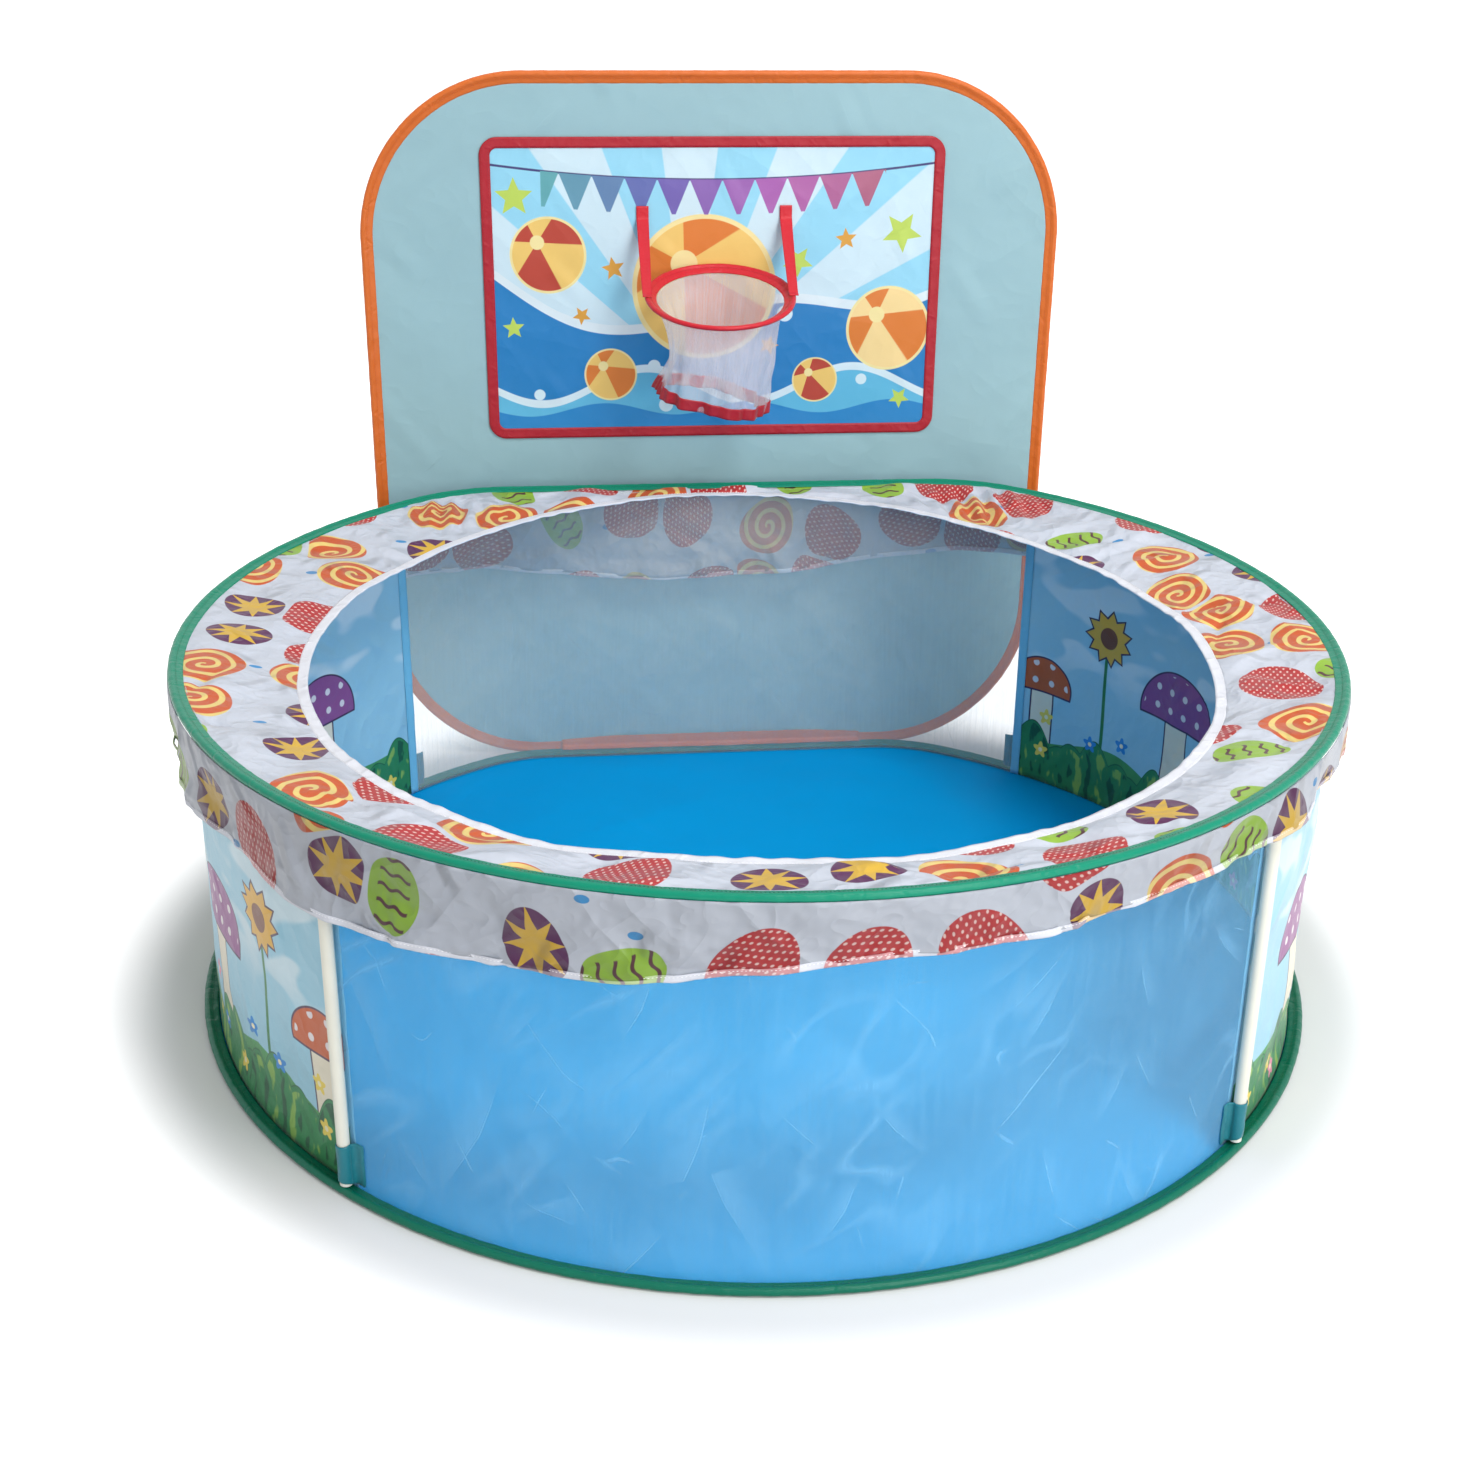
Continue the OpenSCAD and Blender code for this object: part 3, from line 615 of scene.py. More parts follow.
def group(name, inputs, outputs, build):
    """A node group; build takes the tree and its inputs by name, and returns its outputs by name."""
    tree = bpy.data.node_groups.new(name, "ShaderNodeTree")
    for label, kind in inputs.items():
        tree.interface.new_socket(label, in_out="INPUT", socket_type="NodeSocket" + kind)
    for label, kind in outputs.items():
        tree.interface.new_socket(label, in_out="OUTPUT", socket_type="NodeSocket" + kind)
    given = tree.nodes.new("NodeGroupInput")
    result = tree.nodes.new("NodeGroupOutput")
    made = build(tree, {label: Field(tree, given.outputs[label]) for label in inputs})
    for label, value in made.items():
        plug(tree, value, result.inputs[label])
    return tree


def use(tree, made, **inputs):
    node = tree.nodes.new("ShaderNodeGroup")
    node.node_tree = made
    for label, value in inputs.items():
        plug(tree, value, node.inputs[label])
    return {out.name: Field(tree, out) for out in node.outputs}


def build_weave(tree, given):
    """Plain weave: threads over and under, one thread wide."""
    u, v, _ = split(given["UV"])
    u, v = u / given["Thread"] * math.pi, v / given["Thread"] * math.pi
    height = wave(u) * wave(v) * 0.5 + 0.5
    slub = noise(join(tree, u * 0.02, v * 0.6), 1.0, 1.0)
    # painted shade: the threads' tone is lighter where the weave stands high and darker in its hollows; the
    # slubs are real
    return {"Height": height, "Shade": 0.94 + height * 0.05 + slub * 0.05}


def build_crumple(tree, given):
    """Thin cloth that has been folded small: sharp ridges in two slants, and a mask along some of them, which
    roughens cloth and paints highlights on netting.
    """
    fine = calc(tree, "DIVIDE", 1.0, given["Size"])
    left = turned(given["Place"], (0.0, 0.64, 0.5), (5.0, 1.2, 1.0))
    right = turned(given["Place"], (0.0, -0.75, -0.6), (4.0, 1.2, 1.0))
    falling = size(noise(left, fine, 0.6) - 0.5)
    rising = size(noise(right, fine * 1.2, 0.6) - 0.5)
    small = size(noise(given["Place"], fine * 2.6, 1.0) - 0.5)
    soft = noise(given["Place"], fine * 0.4, 1.0)
    shown = rise(noise(given["Place"], fine * 0.8, 1.0), 0.54, 0.7)
    line = (1 - rise(falling, 0.001, 0.01)) * shown
    band = (1 - rise(rising, 0.0, 0.09)) * rise(soft, 0.4, 0.7) * 0.4
    height = soft * 1.4 - falling * 1.5 - rising * 1.2 - small * 0.45
    return {"Height": height, "Crease_Highlight": most(line * 0.6, band)}


def build_strokes(tree, given):
    """Creases in two slants, one in each scattered cell: a painted highlight along a thin line that fades
    out, soft on one side as painted light on that side.
    """
    cell, random = cells(given["UV"], calc(tree, "DIVIDE", 1.0, given["Pitch"]), 1.0)
    x, y, _ = split(cell)
    slant, bow, stretch = split(random)
    rising = calc(tree, "GREATER_THAN", slant, 0.45)
    angle = (slant - 0.5) * 1.3 - 0.65 + rising * 1.3
    cos, sin = calc(tree, "COSINE", angle), wave(angle)
    along, across = x * cos + y * sin, y * cos - x * sin
    end = given["Pitch"] * (stretch * 0.35 + 0.25)
    bent = across - along * along * (bow - 0.5) * 2.5 - size(along) * (stretch - 0.5) * 0.16
    fade = 1 - rise(size(along), 0.0, end)
    line = (1 - rise(size(bent), 0.1 * MM, 0.9 * MM)) * bow
    side = rise(bent, 0.0, 1.2 * MM) * (1 - rise(bent, 0.0, given["Pitch"] * 0.2))
    # painted highlight: one side of the crease is lit up
    facet = side * (stretch * stretch * 0.4)
    ridge = 1 - rise(size(bent), 0.0, given["Pitch"] * 0.14)
    return {"Crease_Highlight": most(line, facet) * fade, "Height": ridge * fade}


def build_fade(tree, given):
    """Slow change of tone, as dye and light vary over worn cloth."""
    tone = noise(given["Place"], calc(tree, "DIVIDE", 1.0, given["Size"]), 2.0)
    return {"Tone": 0.95 + tone * 0.1}


WEAVE = group("weave", {"UV": "Vector", "Thread": "Float"}, {"Height": "Float", "Shade": "Float"},
              build_weave)
CRUMPLE = group("crumple", {"Place": "Vector", "Size": "Float"}, {"Height": "Float", "Crease_Highlight": "Float"},
                build_crumple)
STROKES = group("strokes", {"UV": "Vector", "Pitch": "Float"}, {"Crease_Highlight": "Float", "Height": "Float"},
                build_strokes)
FADE = group("fade", {"Place": "Vector", "Size": "Float"}, {"Tone": "Float"}, build_fade)


def star_edge(turn, arms, inner, outer):
    """Edge distance of a straight-sided star by direction, from inner at its notches to outer."""
    tree = turn.tree
    half = math.pi / arms
    lean = calc(tree, "PINGPONG", turn, half)
    return inner * outer * math.sin(half) / (wave(lean) * inner + wave(half - lean) * outer)


def build_sweets(tree, given):
    """Scattered rounds with dots, spirals, starbursts and bars, and small drops, on white."""
    pitch, soft = given["Pitch"], 0.5 * MM
    scale = calc(tree, "DIVIDE", 1.0, pitch)
    cell, random = cells(given["UV"], scale, 0.5)
    x, y, _ = split(cell)
    pick, spin, bulk = split(random)
    kind = calc(tree, "FRACT", pick * 7.31)
    is_orange = calc(tree, "GREATER_THAN", kind, 0.33)
    is_purple = calc(tree, "GREATER_THAN", kind, 0.6)
    is_lime = calc(tree, "GREATER_THAN", kind, 0.8)
    angle = spin * TURN
    cos, sin = calc(tree, "COSINE", angle), wave(angle)
    px, py = x * cos + y * sin, (y * cos - x * sin) * (1.0 + bulk * 0.3 + is_lime * 0.25)
    r, turn = far(px, py), bearing(px, py)
    wobble = wave(turn * 3 + spin * 9) * 1.8 * MM + wave(turn * 2 + bulk * 7) * 2.2 * MM
    edge = 0.039 - is_purple * 0.009 + is_lime * 0.002 + bulk * 0.007 + wobble
    room = 2.5 * MM - edge_gap(given["UV"], scale, 0.5) * pitch
    body = within(calc(tree, "SMOOTH_MAX", r - edge, room, 8 * MM), soft)
    dots_x = calc(tree, "PINGPONG", px + py * 0.5, 3.6 * MM)
    dots_y = calc(tree, "PINGPONG", py, 3.3 * MM)
    dots = within(far(dots_x, dots_y) - 1.5 * MM, soft)
    red = mix(shade(190, 38, 38), shade(244, 206, 198), dots)
    coil = calc(tree, "PINGPONG", r / (8.2 * MM) - turn / math.pi + wave(turn * 2) * 0.12, 1.0)
    orange = mix(shade(212, 92, 36), shade(244, 216, 128), rise(coil, 0.58, 0.7))
    burst = within(r - star_edge(turn, 8, edge * 0.42, edge * 1.04), soft)
    purple = mix(shade(92, 28, 84), shade(230, 186, 56), burst)
    bars = calc(tree, "PINGPONG", px + wave(py * 240) * 1.8 * MM + 0.1, 7.5 * MM)
    bar = rise(bars, 5.4 * MM, 6.2 * MM) * within(size(py) - edge * 0.62, MM)
    lime = mix(shade(152, 194, 58), shade(88, 40, 46), bar)
    colour = mix(mix(mix(red, orange, is_orange), purple, is_purple), lime, is_lime)
    shifted = vector_calc(tree, "ADD", given["UV"], (0.031, 0.047, 0.0))
    drop, drop_random = cells(shifted, scale * 0.9, 0.9)
    dx, dy, _ = split(drop)
    chosen = calc(tree, "GREATER_THAN", split(drop_random)[0], 0.4)
    bead = within(far(dx, dy * 1.7) - 6.5 * MM, soft) * chosen
    return {"Colour": mix(mix(WHITE, shade(60, 150, 212), bead), colour, body)}


SWEETS = group("sweets_print", {"UV": "Vector", "Pitch": "Float"}, {"Colour": "Color"}, build_sweets)


# ---- Materials ----

def new_material(name):
    material = bpy.data.materials.new(name)
    material.use_nodes = True
    tree = material.node_tree
    tree.nodes.clear()
    shader = tree.nodes.new("ShaderNodeBsdfPrincipled")
    output = tree.nodes.new("ShaderNodeOutputMaterial")
    tree.links.new(shader.outputs[0], output.inputs[0])
    return material, tree, shader


def uv_of(tree):
    node = tree.nodes.new("ShaderNodeUVMap")
    node.uv_map = "cloth"
    return Field(tree, node.outputs[0])


def place_of(tree):
    return Field(tree, tree.nodes.new("ShaderNodeTexCoord").outputs["Object"])


def bump(tree, shader, layers):
    """Chains bump nodes; layers are (height, depth in metres)."""
    normal = None
    for height, depth in layers:
        node = tree.nodes.new("ShaderNodeBump")
        node.inputs["Distance"].default_value = depth
        plug(tree, height, node.inputs["Height"])
        if normal:
            tree.links.new(normal, node.inputs["Normal"])
        normal = node.outputs[0]
    tree.links.new(normal, shader.inputs["Normal"])


def fabric(name, ink, thread=0.7 * MM, fold=0.03, depth=0.9 * MM, rough=0.55, sheen=0.15, solid=1.0,
           specular=0.4):
    """Woven cloth. ink is a colour, or a function of the tree and the cloth's UV that paints it."""
    material, tree, shader = new_material(name)
    uv, place_field = uv_of(tree), place_of(tree)
    weave = use(tree, WEAVE, UV=uv, Thread=thread)
    crumple = use(tree, CRUMPLE, Place=place_field, Size=fold)
    fade = use(tree, FADE, Place=place_field, Size=0.12)
    paint = ink(tree, uv) if callable(ink) else ink
    stroke = use(tree, STROKES, UV=uv, Pitch=fold * 1.6)
    # painted shade in the weave's hollows and painted highlights along the crease strokes, on a tone that
    # varies at random
    colour = vector_calc(tree, "SCALE", paint, weave["Shade"] * fade["Tone"] * (1 + stroke["Crease_Highlight"] * 0.05))
    plug(tree, colour, shader.inputs["Base Color"])
    plug(tree, rough + crumple["Crease_Highlight"] * 0.06 - weave["Height"] * 0.04, shader.inputs["Roughness"])
    shader.inputs["Sheen Weight"].default_value = sheen
    shader.inputs["Specular IOR Level"].default_value = specular
    shader.inputs["Alpha"].default_value = solid
    bump(tree, shader, [(weave["Height"], 0.05 * MM), (crumple["Height"] + stroke["Height"] * 0.4, depth)])
    return material


def netting(name, colour, hole, cover, crease_cover, fold=0.05, depth=3 * MM):
    """Sheer knitted netting: its share of thread is cover, and a crease adds up to crease_cover, partly as
    netting folded double and partly as a painted highlight.
    """
    material, tree, shader = new_material(name)
    uv, place_field = uv_of(tree), place_of(tree)
    u, v, _ = split(uv)
    knit = wave(u * (TURN / hole)) * wave(v * (TURN / hole)) * 0.5 + 0.5
    crumple = use(tree, CRUMPLE, Place=place_field, Size=fold)
    fade = use(tree, FADE, Place=place_field, Size=0.1)
    plug(tree, vector_calc(tree, "SCALE", colour, fade["Tone"]), shader.inputs["Base Color"])
    warp = noise(join(tree, u * 500, v * 9), 1.0, 2.0) - 0.5
    long = use(tree, STROKES, UV=uv, Pitch=fold * 3.6)
    short = use(tree, STROKES, UV=vector_calc(tree, "ADD", uv, (0.31, 0.17, 0.0)), Pitch=fold * 1.8)
    # painted highlight: crease lines make the netting thicker and so whiter, partly as netting folded double
    # along its folds
    lines = most(most(long["Crease_Highlight"], short["Crease_Highlight"] * 0.8), crumple["Crease_Highlight"])
    thick = cover * (0.75 + knit * 0.5 + warp * 0.6) + lines * crease_cover
    plug(tree, calc(tree, "MINIMUM", thick, 1.0), shader.inputs["Alpha"])
    shader.inputs["Roughness"].default_value = 0.7
    shader.inputs["Sheen Weight"].default_value = 0.2
    bump(tree, shader, [(knit, 0.1 * MM), (crumple["Height"] + long["Height"] * 0.5, depth)])
    return material


def plastic(name, colour, rough):
    material, tree, shader = new_material(name)
    spot = place_of(tree)
    fade = use(tree, FADE, Place=spot, Size=0.03)
    scuff = noise(spot, 900.0, 2.0)
    plug(tree, vector_calc(tree, "SCALE", colour, fade["Tone"]), shader.inputs["Base Color"])
    plug(tree, rough + scuff * 0.12, shader.inputs["Roughness"])
    bump(tree, shader, [(scuff, 0.03 * MM)])
    return material


def steel(name, colour, rough):
    material, tree, shader = new_material(name)
    spot = place_of(tree)
    grain = noise(vector_calc(tree, "MULTIPLY", spot, (60.0, 60.0, 900.0)), 1.0, 2.0)
    plug(tree, vector_calc(tree, "SCALE", colour, 0.85 + grain * 0.3), shader.inputs["Base Color"])
    plug(tree, rough + grain * 0.15, shader.inputs["Roughness"])
    shader.inputs["Metallic"].default_value = 1.0
    bump(tree, shader, [(grain, 0.02 * MM)])
    return material


PRINT_PITCH = 0.094           # from one of the print's rounds to the next, about
VALANCE_SHADE_SHARE = 0.64             # painted shade: the share of itself that the valance's print keeps, so that it looks shaded as it hangs
BACK_SHARE = 0.42             # how much of the cloth's plain back shows where it is folded double


def sweets(tree, uv):
    return use(tree, SWEETS, UV=uv, Pitch=PRINT_PITCH)["Colour"]


def painted_shade_sweets(tree, uv):
    """The cover's print darkened with painted shade, for the hanging valance."""
    return vector_calc(tree, "SCALE", sweets(tree, uv), VALANCE_SHADE_SHARE)


def doubled_sweets(tree, uv):
    """The print folded back on itself, so that the plain back shows through it."""
    plain = [BACK_SHARE * part for part in shade(204, 202, 208)]
    return vector_calc(tree, "ADD", vector_calc(tree, "SCALE", sweets(tree, uv), 1 - BACK_SHARE), plain)


class Print:
    """Paints shapes one over another on a sheet whose x and y are in metres."""

    def __init__(self, tree, uv, ground):
        self.tree = tree
        self.x, self.y, _ = split(uv)
        self.colour = ground

    def at(self, x, y):
        return self.x - x, self.y - y

    def fill(self, distance, colour, soft=0.6 * MM):
        self.colour = mix(self.colour, colour, within(distance, soft))

    def wash(self, colour, mask):
        self.colour = mix(self.colour, colour, mask)

    def disc(self, x, y, r, colour):
        dx, dy = self.at(x, y)
        self.fill(far(dx, dy) - r, colour)

    def star(self, x, y, r, colour, arms=5, tilt=0.3, inner=0.45):
        dx, dy = self.at(x, y)
        turn = bearing(dx, dy) + (TURN + tilt)
        self.fill(far(dx, dy) - star_edge(turn, arms, inner * r, r), colour)

    def beach_ball(self, x, y, r, first, second, tilt=0.5):
        dx, dy = self.at(x, y)
        self.fill(far(dx, dy) - r * 1.07, CREAM)
        ball = within(far(dx, dy) - r)
        turn = bearing(dx + r * 0.3, dy - r * 0.35) + (TURN + tilt)
        wedge = rise(wave(turn * 3), -0.06, 0.06)
        self.wash(mix(first, second, wedge), ball)
        self.fill(far(dx + r * 0.3, dy - r * 0.35) - r * 0.2, CREAM)


def art(tree, uv):
    """A beach scene: rays, waves, striped balls, stars and bubbles under a row of pennants."""
    made = Print(tree, uv, shade(150, 214, 238))
    x, y = made.x, made.y
    rays = wave(bearing(x + 0.03, y + 0.11) * 13)
    made.wash(shade(206, 230, 240), rise(rays, -0.05, 0.05))
    swell = y + 0.055 - wave(x * 15 + 0.9) * 0.03 - size(x) * 0.3
    made.fill(swell, shade(222, 236, 242))
    made.fill(swell + 0.012, shade(30, 126, 190))
    curl = y + 0.115 - wave(x * 24 + 3.6) * 0.022
    made.fill(curl, shade(214, 234, 242))
    made.fill(curl + 0.01, shade(96, 186, 222))
    made.fill(y + 0.15 - wave(x * 34) * 0.008, shade(36, 134, 198))
    orange, rust, cream = shade(222, 124, 46), shade(186, 66, 48), shade(240, 200, 110)
    made.beach_ball(-0.012, 0.004, 0.084, orange, cream)
    made.beach_ball(-0.205, 0.045, 0.044, rust, cream, 1.1)
    made.beach_ball(0.222, -0.05, 0.05, orange, shade(246, 216, 150), 2.0)
    made.beach_ball(-0.13, -0.105, 0.031, orange, cream, 0.1)
    made.beach_ball(0.13, -0.115, 0.027, rust, cream, 0.8)
    lime, amber = shade(190, 214, 92), shade(222, 160, 62)
    for sx, sy, r, colour in (
            (-0.245, 0.115, 0.024, lime), (-0.125, 0.028, 0.015, amber), (0.105, 0.035, 0.02, lime),
            (0.165, 0.062, 0.014, amber), (0.235, 0.07, 0.026, lime), (-0.25, -0.045, 0.014, lime),
            (0.07, -0.07, 0.013, amber), (-0.165, -0.03, 0.012, amber), (0.24, -0.14, 0.014, lime)):
        made.star(sx, sy, r, colour, tilt=sx * 9)
    for bx, by, r in ((-0.075, -0.095, 0.008), (0.09, -0.03, 0.01), (-0.22, -0.13, 0.007),
                      (0.05, -0.14, 0.006), (0.19, -0.115, 0.007), (-0.06, -0.145, 0.009)):
        made.disc(bx, by, r, shade(214, 236, 244))
    string = x * x * 0.25 + 0.135
    made.fill(size(y - string) - 1.4 * MM, shade(60, 52, 110))
    half = 0.02
    flag_x = calc(tree, "PINGPONG", x + 0.23, half)
    number = calc(tree, "FLOOR", (x + 0.23) / (2 * half))
    drop = string - y
    triangle = most(drop - 0.042, drop * 0.42 - flag_x)
    flag = most(most(triangle, -drop), size(x) - 0.212)
    hue = tree.nodes.new("ShaderNodeCombineColor")
    hue.mode = "HSV"
    plug(tree, calc(tree, "FRACT", 0.52 + number * 0.043), hue.inputs[0])
    hue.inputs[1].default_value = 0.72
    hue.inputs[2].default_value = 0.42
    made.fill(flag, Field(tree, hue.outputs[0]))
    return made.colour


def meadow(tree, uv):
    """Hills, bushes, flowers and toadstools under a pale sky."""
    made = Print(tree, uv, shade(156, 206, 226))
    x, y = made.x, made.y
    cloud = noise(vector_calc(tree, "MULTIPLY", uv, (1.0, 1.8, 0.0)), 11.0, 1.0)
    made.wash(shade(206, 230, 240), rise(cloud, 0.52, 0.6) * rise(y, 0.14, 0.2))
    purple, plum = shade(146, 78, 140), shade(60, 28, 70)
    amber, rust = shade(226, 176, 62), shade(196, 92, 40)
    for i, (mx, my, r, cap) in enumerate(((0.16, 0.16, 0.062, purple), (0.44, 0.13, 0.045, rust),
                                          (0.7, 0.165, 0.066, purple), (0.93, 0.135, 0.046, rust))):
        dx, dy = made.at(mx, my)
        stalk = most(size(dx) - r * (0.3 + i % 2 * 0.05), dy)
        made.fill(stalk - 2.4 * MM, plum)
        made.fill(stalk, shade(236, 228, 206))
        dome = most(far(dx, dy * 1.15) - r, -dy - r * 0.12)
        made.fill(dome - 2.4 * MM, plum)
        made.fill(dome, cap)
        spot_x = calc(tree, "PINGPONG", dx + 0.3, 0.013)
        spot_y = calc(tree, "PINGPONG", dy + 0.304, 0.012)
        spots = within(far(spot_x, spot_y) - 4.5 * MM)
        made.wash(shade(232, 224, 226), spots * within(dome + 4 * MM))
    for fx, fy, r in ((0.305, 0.2, 0.036), (0.575, 0.215, 0.034), (0.83, 0.23, 0.036), (1.0, 0.2, 0.03)):
        dx, dy = made.at(fx, fy)
        made.fill(most(size(dx + wave(dy * 30) * 3 * MM) - 2.6 * MM, dy), shade(40, 120, 60))
        made.star(fx, fy, r * 1.1, plum, arms=11, inner=0.72)
        made.star(fx, fy, r, amber, arms=11, inner=0.7)
        made.disc(fx, fy, r * 0.4, shade(120, 66, 40))
    far_hill = y - 0.062 - wave(x * 17) * 0.014 - wave(x * 31 + 2) * 0.006
    made.fill(far_hill, shade(70, 150, 84))
    leaf = size(wave(x * 62)) * 0.02 + size(wave(x * 27 + 1)) * 0.026
    bushes = y - 0.04 - leaf
    made.fill(bushes - 1.6 * MM, shade(20, 92, 54))
    made.fill(bushes, shade(44, 132, 78))
    stroke = noise(vector_calc(tree, "MULTIPLY", uv, (1.0, 0.4, 0.0)), 55.0, 2.0)
    made.wash(shade(150, 190, 84), rise(stroke, 0.56, 0.62) * within(bushes + 6 * MM) * 0.8)
    made.wash(shade(14, 84, 52), rise(0.5 - stroke, 0.08, 0.12) * within(bushes + 3 * MM))
    blossom, random = cells(uv, 17.0, 0.8)
    bx, by, _ = split(blossom)
    tint, chance, _ = split(random)
    petals = far(bx, by) - (9 * MM + wave(bearing(bx, by) * 5) * 2.4 * MM)
    flowers = within(petals) * calc(tree, "GREATER_THAN", chance, 0.42) * calc(tree, "LESS_THAN", y, 0.115)
    colour = mix(shade(232, 140, 170), shade(50, 140, 214), calc(tree, "GREATER_THAN", tint, 0.45))
    colour = mix(colour, shade(240, 214, 90), calc(tree, "GREATER_THAN", tint, 0.72))
    made.wash(colour, flowers)
    made.wash(shade(250, 240, 200), within(far(bx, by) - 3 * MM) * flowers)
    return made.colour


CLOSE_THREAD = 0.5 * MM       # a thread's width in close-woven tape


def binding(name, colour, rough, sheen=0.05, specular=0.4):
    """Close-woven tape for a bound edge."""
    return fabric(name, colour, CLOSE_THREAD, 0.014, 0.8 * MM, rough, sheen, specular=specular)


def sewing_thread(name, colour):
    return fabric(name, colour, fold=0.01, depth=0.1 * MM)


FLOOR_CLOTH = fabric("floor_cloth", shade(0, 164, 232), fold=0.1, depth=1.5 * MM, rough=0.6, sheen=0.0,
                     specular=0.05)
# painted light: both rings are bound with the same green tape; the bottom ring's is darker as painted shade
# and the top ring's lighter as painted light
SHADED_GREEN_TAPE = binding("green_tape", shade(0, 108, 84), 0.32, 0.0, 0.25)
LIT_GREEN_TAPE = binding("top_tape", shade(2, 138, 108), 0.32, 0.0, 0.25)
ORANGE_TAPE = binding("orange_tape", shade(218, 108, 34), 0.42)
RED_TAPE = binding("red_tape", shade(176, 22, 40), 0.45)
HOOP_TAPE = binding("hoop_tape", shade(208, 20, 40), 0.4)
SEAM_TAPE = fabric("seam_tape", shade(124, 196, 226), CLOSE_THREAD, fold=0.02, depth=0.9 * MM)
POCKET_CLOTH = fabric("pocket_cloth", shade(16, 120, 134), CLOSE_THREAD, fold=0.02, depth=1.4 * MM,
                      rough=0.42)
BOARD_CLOTH = fabric("board_cloth", shade(153, 190, 198), fold=0.09, depth=3.0 * MM, rough=0.5)
COVER_CLOTH = fabric("cover_cloth", sweets, fold=0.05, depth=10 * MM, rough=0.45, solid=0.88)
WHITE_HEM = fabric("white_hem", shade(234, 236, 244), fold=0.02, depth=2.0 * MM, solid=0.94)
# painted shade: the valance wears the cover's print darkened, though both are the same thin cloth
VALANCE_CLOTH = fabric("valance_cloth", painted_shade_sweets, fold=0.06, depth=14 * MM, rough=0.4, solid=0.88)
VALANCE_HEM_CLOTH = fabric("valance_hem_cloth", doubled_sweets, fold=0.03, depth=3.0 * MM, rough=0.45)
SIDE_CLOTH = fabric("side_cloth", meadow, fold=0.06, depth=5.0 * MM, rough=0.45)
ART_CLOTH = fabric("art_cloth", art, fold=0.07, depth=2.5 * MM, rough=0.4)
WALL_MESH = netting("wall_mesh", shade(146, 214, 255), hole=2.2 * MM, cover=0.19, crease_cover=0.3)
# painted light: the rear wall's netting is a paler, less blue copy of the walls' netting, which lights up the
# pool's rear
LIT_BACK_MESH = netting("back_mesh", shade(228, 240, 240), hole=2.2 * MM, cover=0.18, crease_cover=0.08)
NET_MESH = netting("net_mesh", shade(246, 244, 250), hole=1.8 * MM, cover=0.25, crease_cover=0.06,
                   depth=0.5 * MM)
POLE_PLASTIC = plastic("pole_plastic", shade(232, 230, 216), 0.35)
PLUG_PLASTIC = plastic("plug_plastic", shade(226, 226, 222), 0.5)
SPRING_STEEL = steel("spring_steel", shade(190, 190, 194), 0.3)
FERRULE_STEEL = steel("ferrule_steel", shade(150, 150, 154), 0.4)
GREEN_THREAD = sewing_thread("green_thread", shade(16, 112, 76))
ORANGE_THREAD = sewing_thread("orange_thread", shade(206, 96, 30))
RED_THREAD = sewing_thread("red_thread", shade(160, 20, 36))
WHITE_THREAD = sewing_thread("white_thread", shade(244, 244, 246))
BLUE_THREAD = sewing_thread("blue_thread", shade(96, 180, 214))


def dress(obj, material):
    obj.data.materials.clear()
    obj.data.materials.append(material)
    return obj


def put(obj, body, slot, *nodes):
    """Rides a finished piece on its body, in place of the nodes named."""
    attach(obj, body)
    if nodes:
        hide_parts(*nodes)
    return obj


# ---- Floor and rings ----

RING_STEPS = 1260             # points round a ring's path


def disc_grid(n):
    """A square grid bent round: the share of the way out, 0 to 1, and the polar angle."""
    side = np.linspace(-1, 1, n)
    t, s = np.meshgrid(side, side, indexing="ij")
    out = np.maximum(np.abs(s), np.abs(t))
    return out, np.arctan2(t, s)


def floor_sheet():
    out, a = disc_grid(121)
    r = out * reach(BOTTOM_FLAT, CLOTH_IN, a)
    flat = points(r * np.cos(a), r * np.sin(a))
    swell = (waves(flat, 0.16, 3) * 0.5 + 0.5) * 1.6 * MM
    lift = swell + np.abs(creases(flat, 4, 26, 0.2, 8 * MM)) * 1.2 * MM
    z = CLOTH_T + np.maximum(lift, 0) * window((out + 1) / 2, 0.04)
    obj = dress(cloth("floor_cloth_sheet", points(flat[..., 0], flat[..., 1], z), flat), FLOOR_CLOTH)
    return put(obj, "pool", "floor_cloth", "floor_sheet")


def ring_line(flat, inset=0.0):
    """A ring's path seen from above, drawn in by inset, from the middle of its straight rear."""
    a = np.linspace(0, TURN, RING_STEPS, endpoint=False) + math.pi / 2
    r = reach(flat, inset, a)
    return points(r * np.cos(a), r * np.sin(a))


def seam_lines(line, heights):
    """A closed line in the XY plane, once at each height."""
    whole = closed(line)
    return [points(whole[:, 0], whole[:, 1], z) for z in heights]


def ring_tape(name, node, flat, z, tape, foot=None):
    """A ring's tape with its stitches; foot is a height that it doesn't reach below."""
    obj = bound_edge(name, ring_line(flat), TAPE_R, TAPE_W, tape)
    place(obj, Matrix.Translation((0, 0, z)))
    if foot is not None:
        at = vertices(obj)
        at[:, 2] = np.maximum(at[:, 2], foot)
        set_vertices(obj, at)
    rows = seam_lines(ring_line(flat, SEAM_IN), [z + SEAM_OFF, z - SEAM_OFF])
    sewn = stitches(name + "_stitches", rows, GREEN_THREAD)
    put(obj, "pool", "ring_tape", node)
    return obj, put(sewn, "pool", "ring_tape")


# ---- Walls and their sewn parts ----

def sewn_round(down, along):
    """0 at a wall's sewn edges and 1 away from them."""
    return window(along, 0.08) * window(down, 0.1)


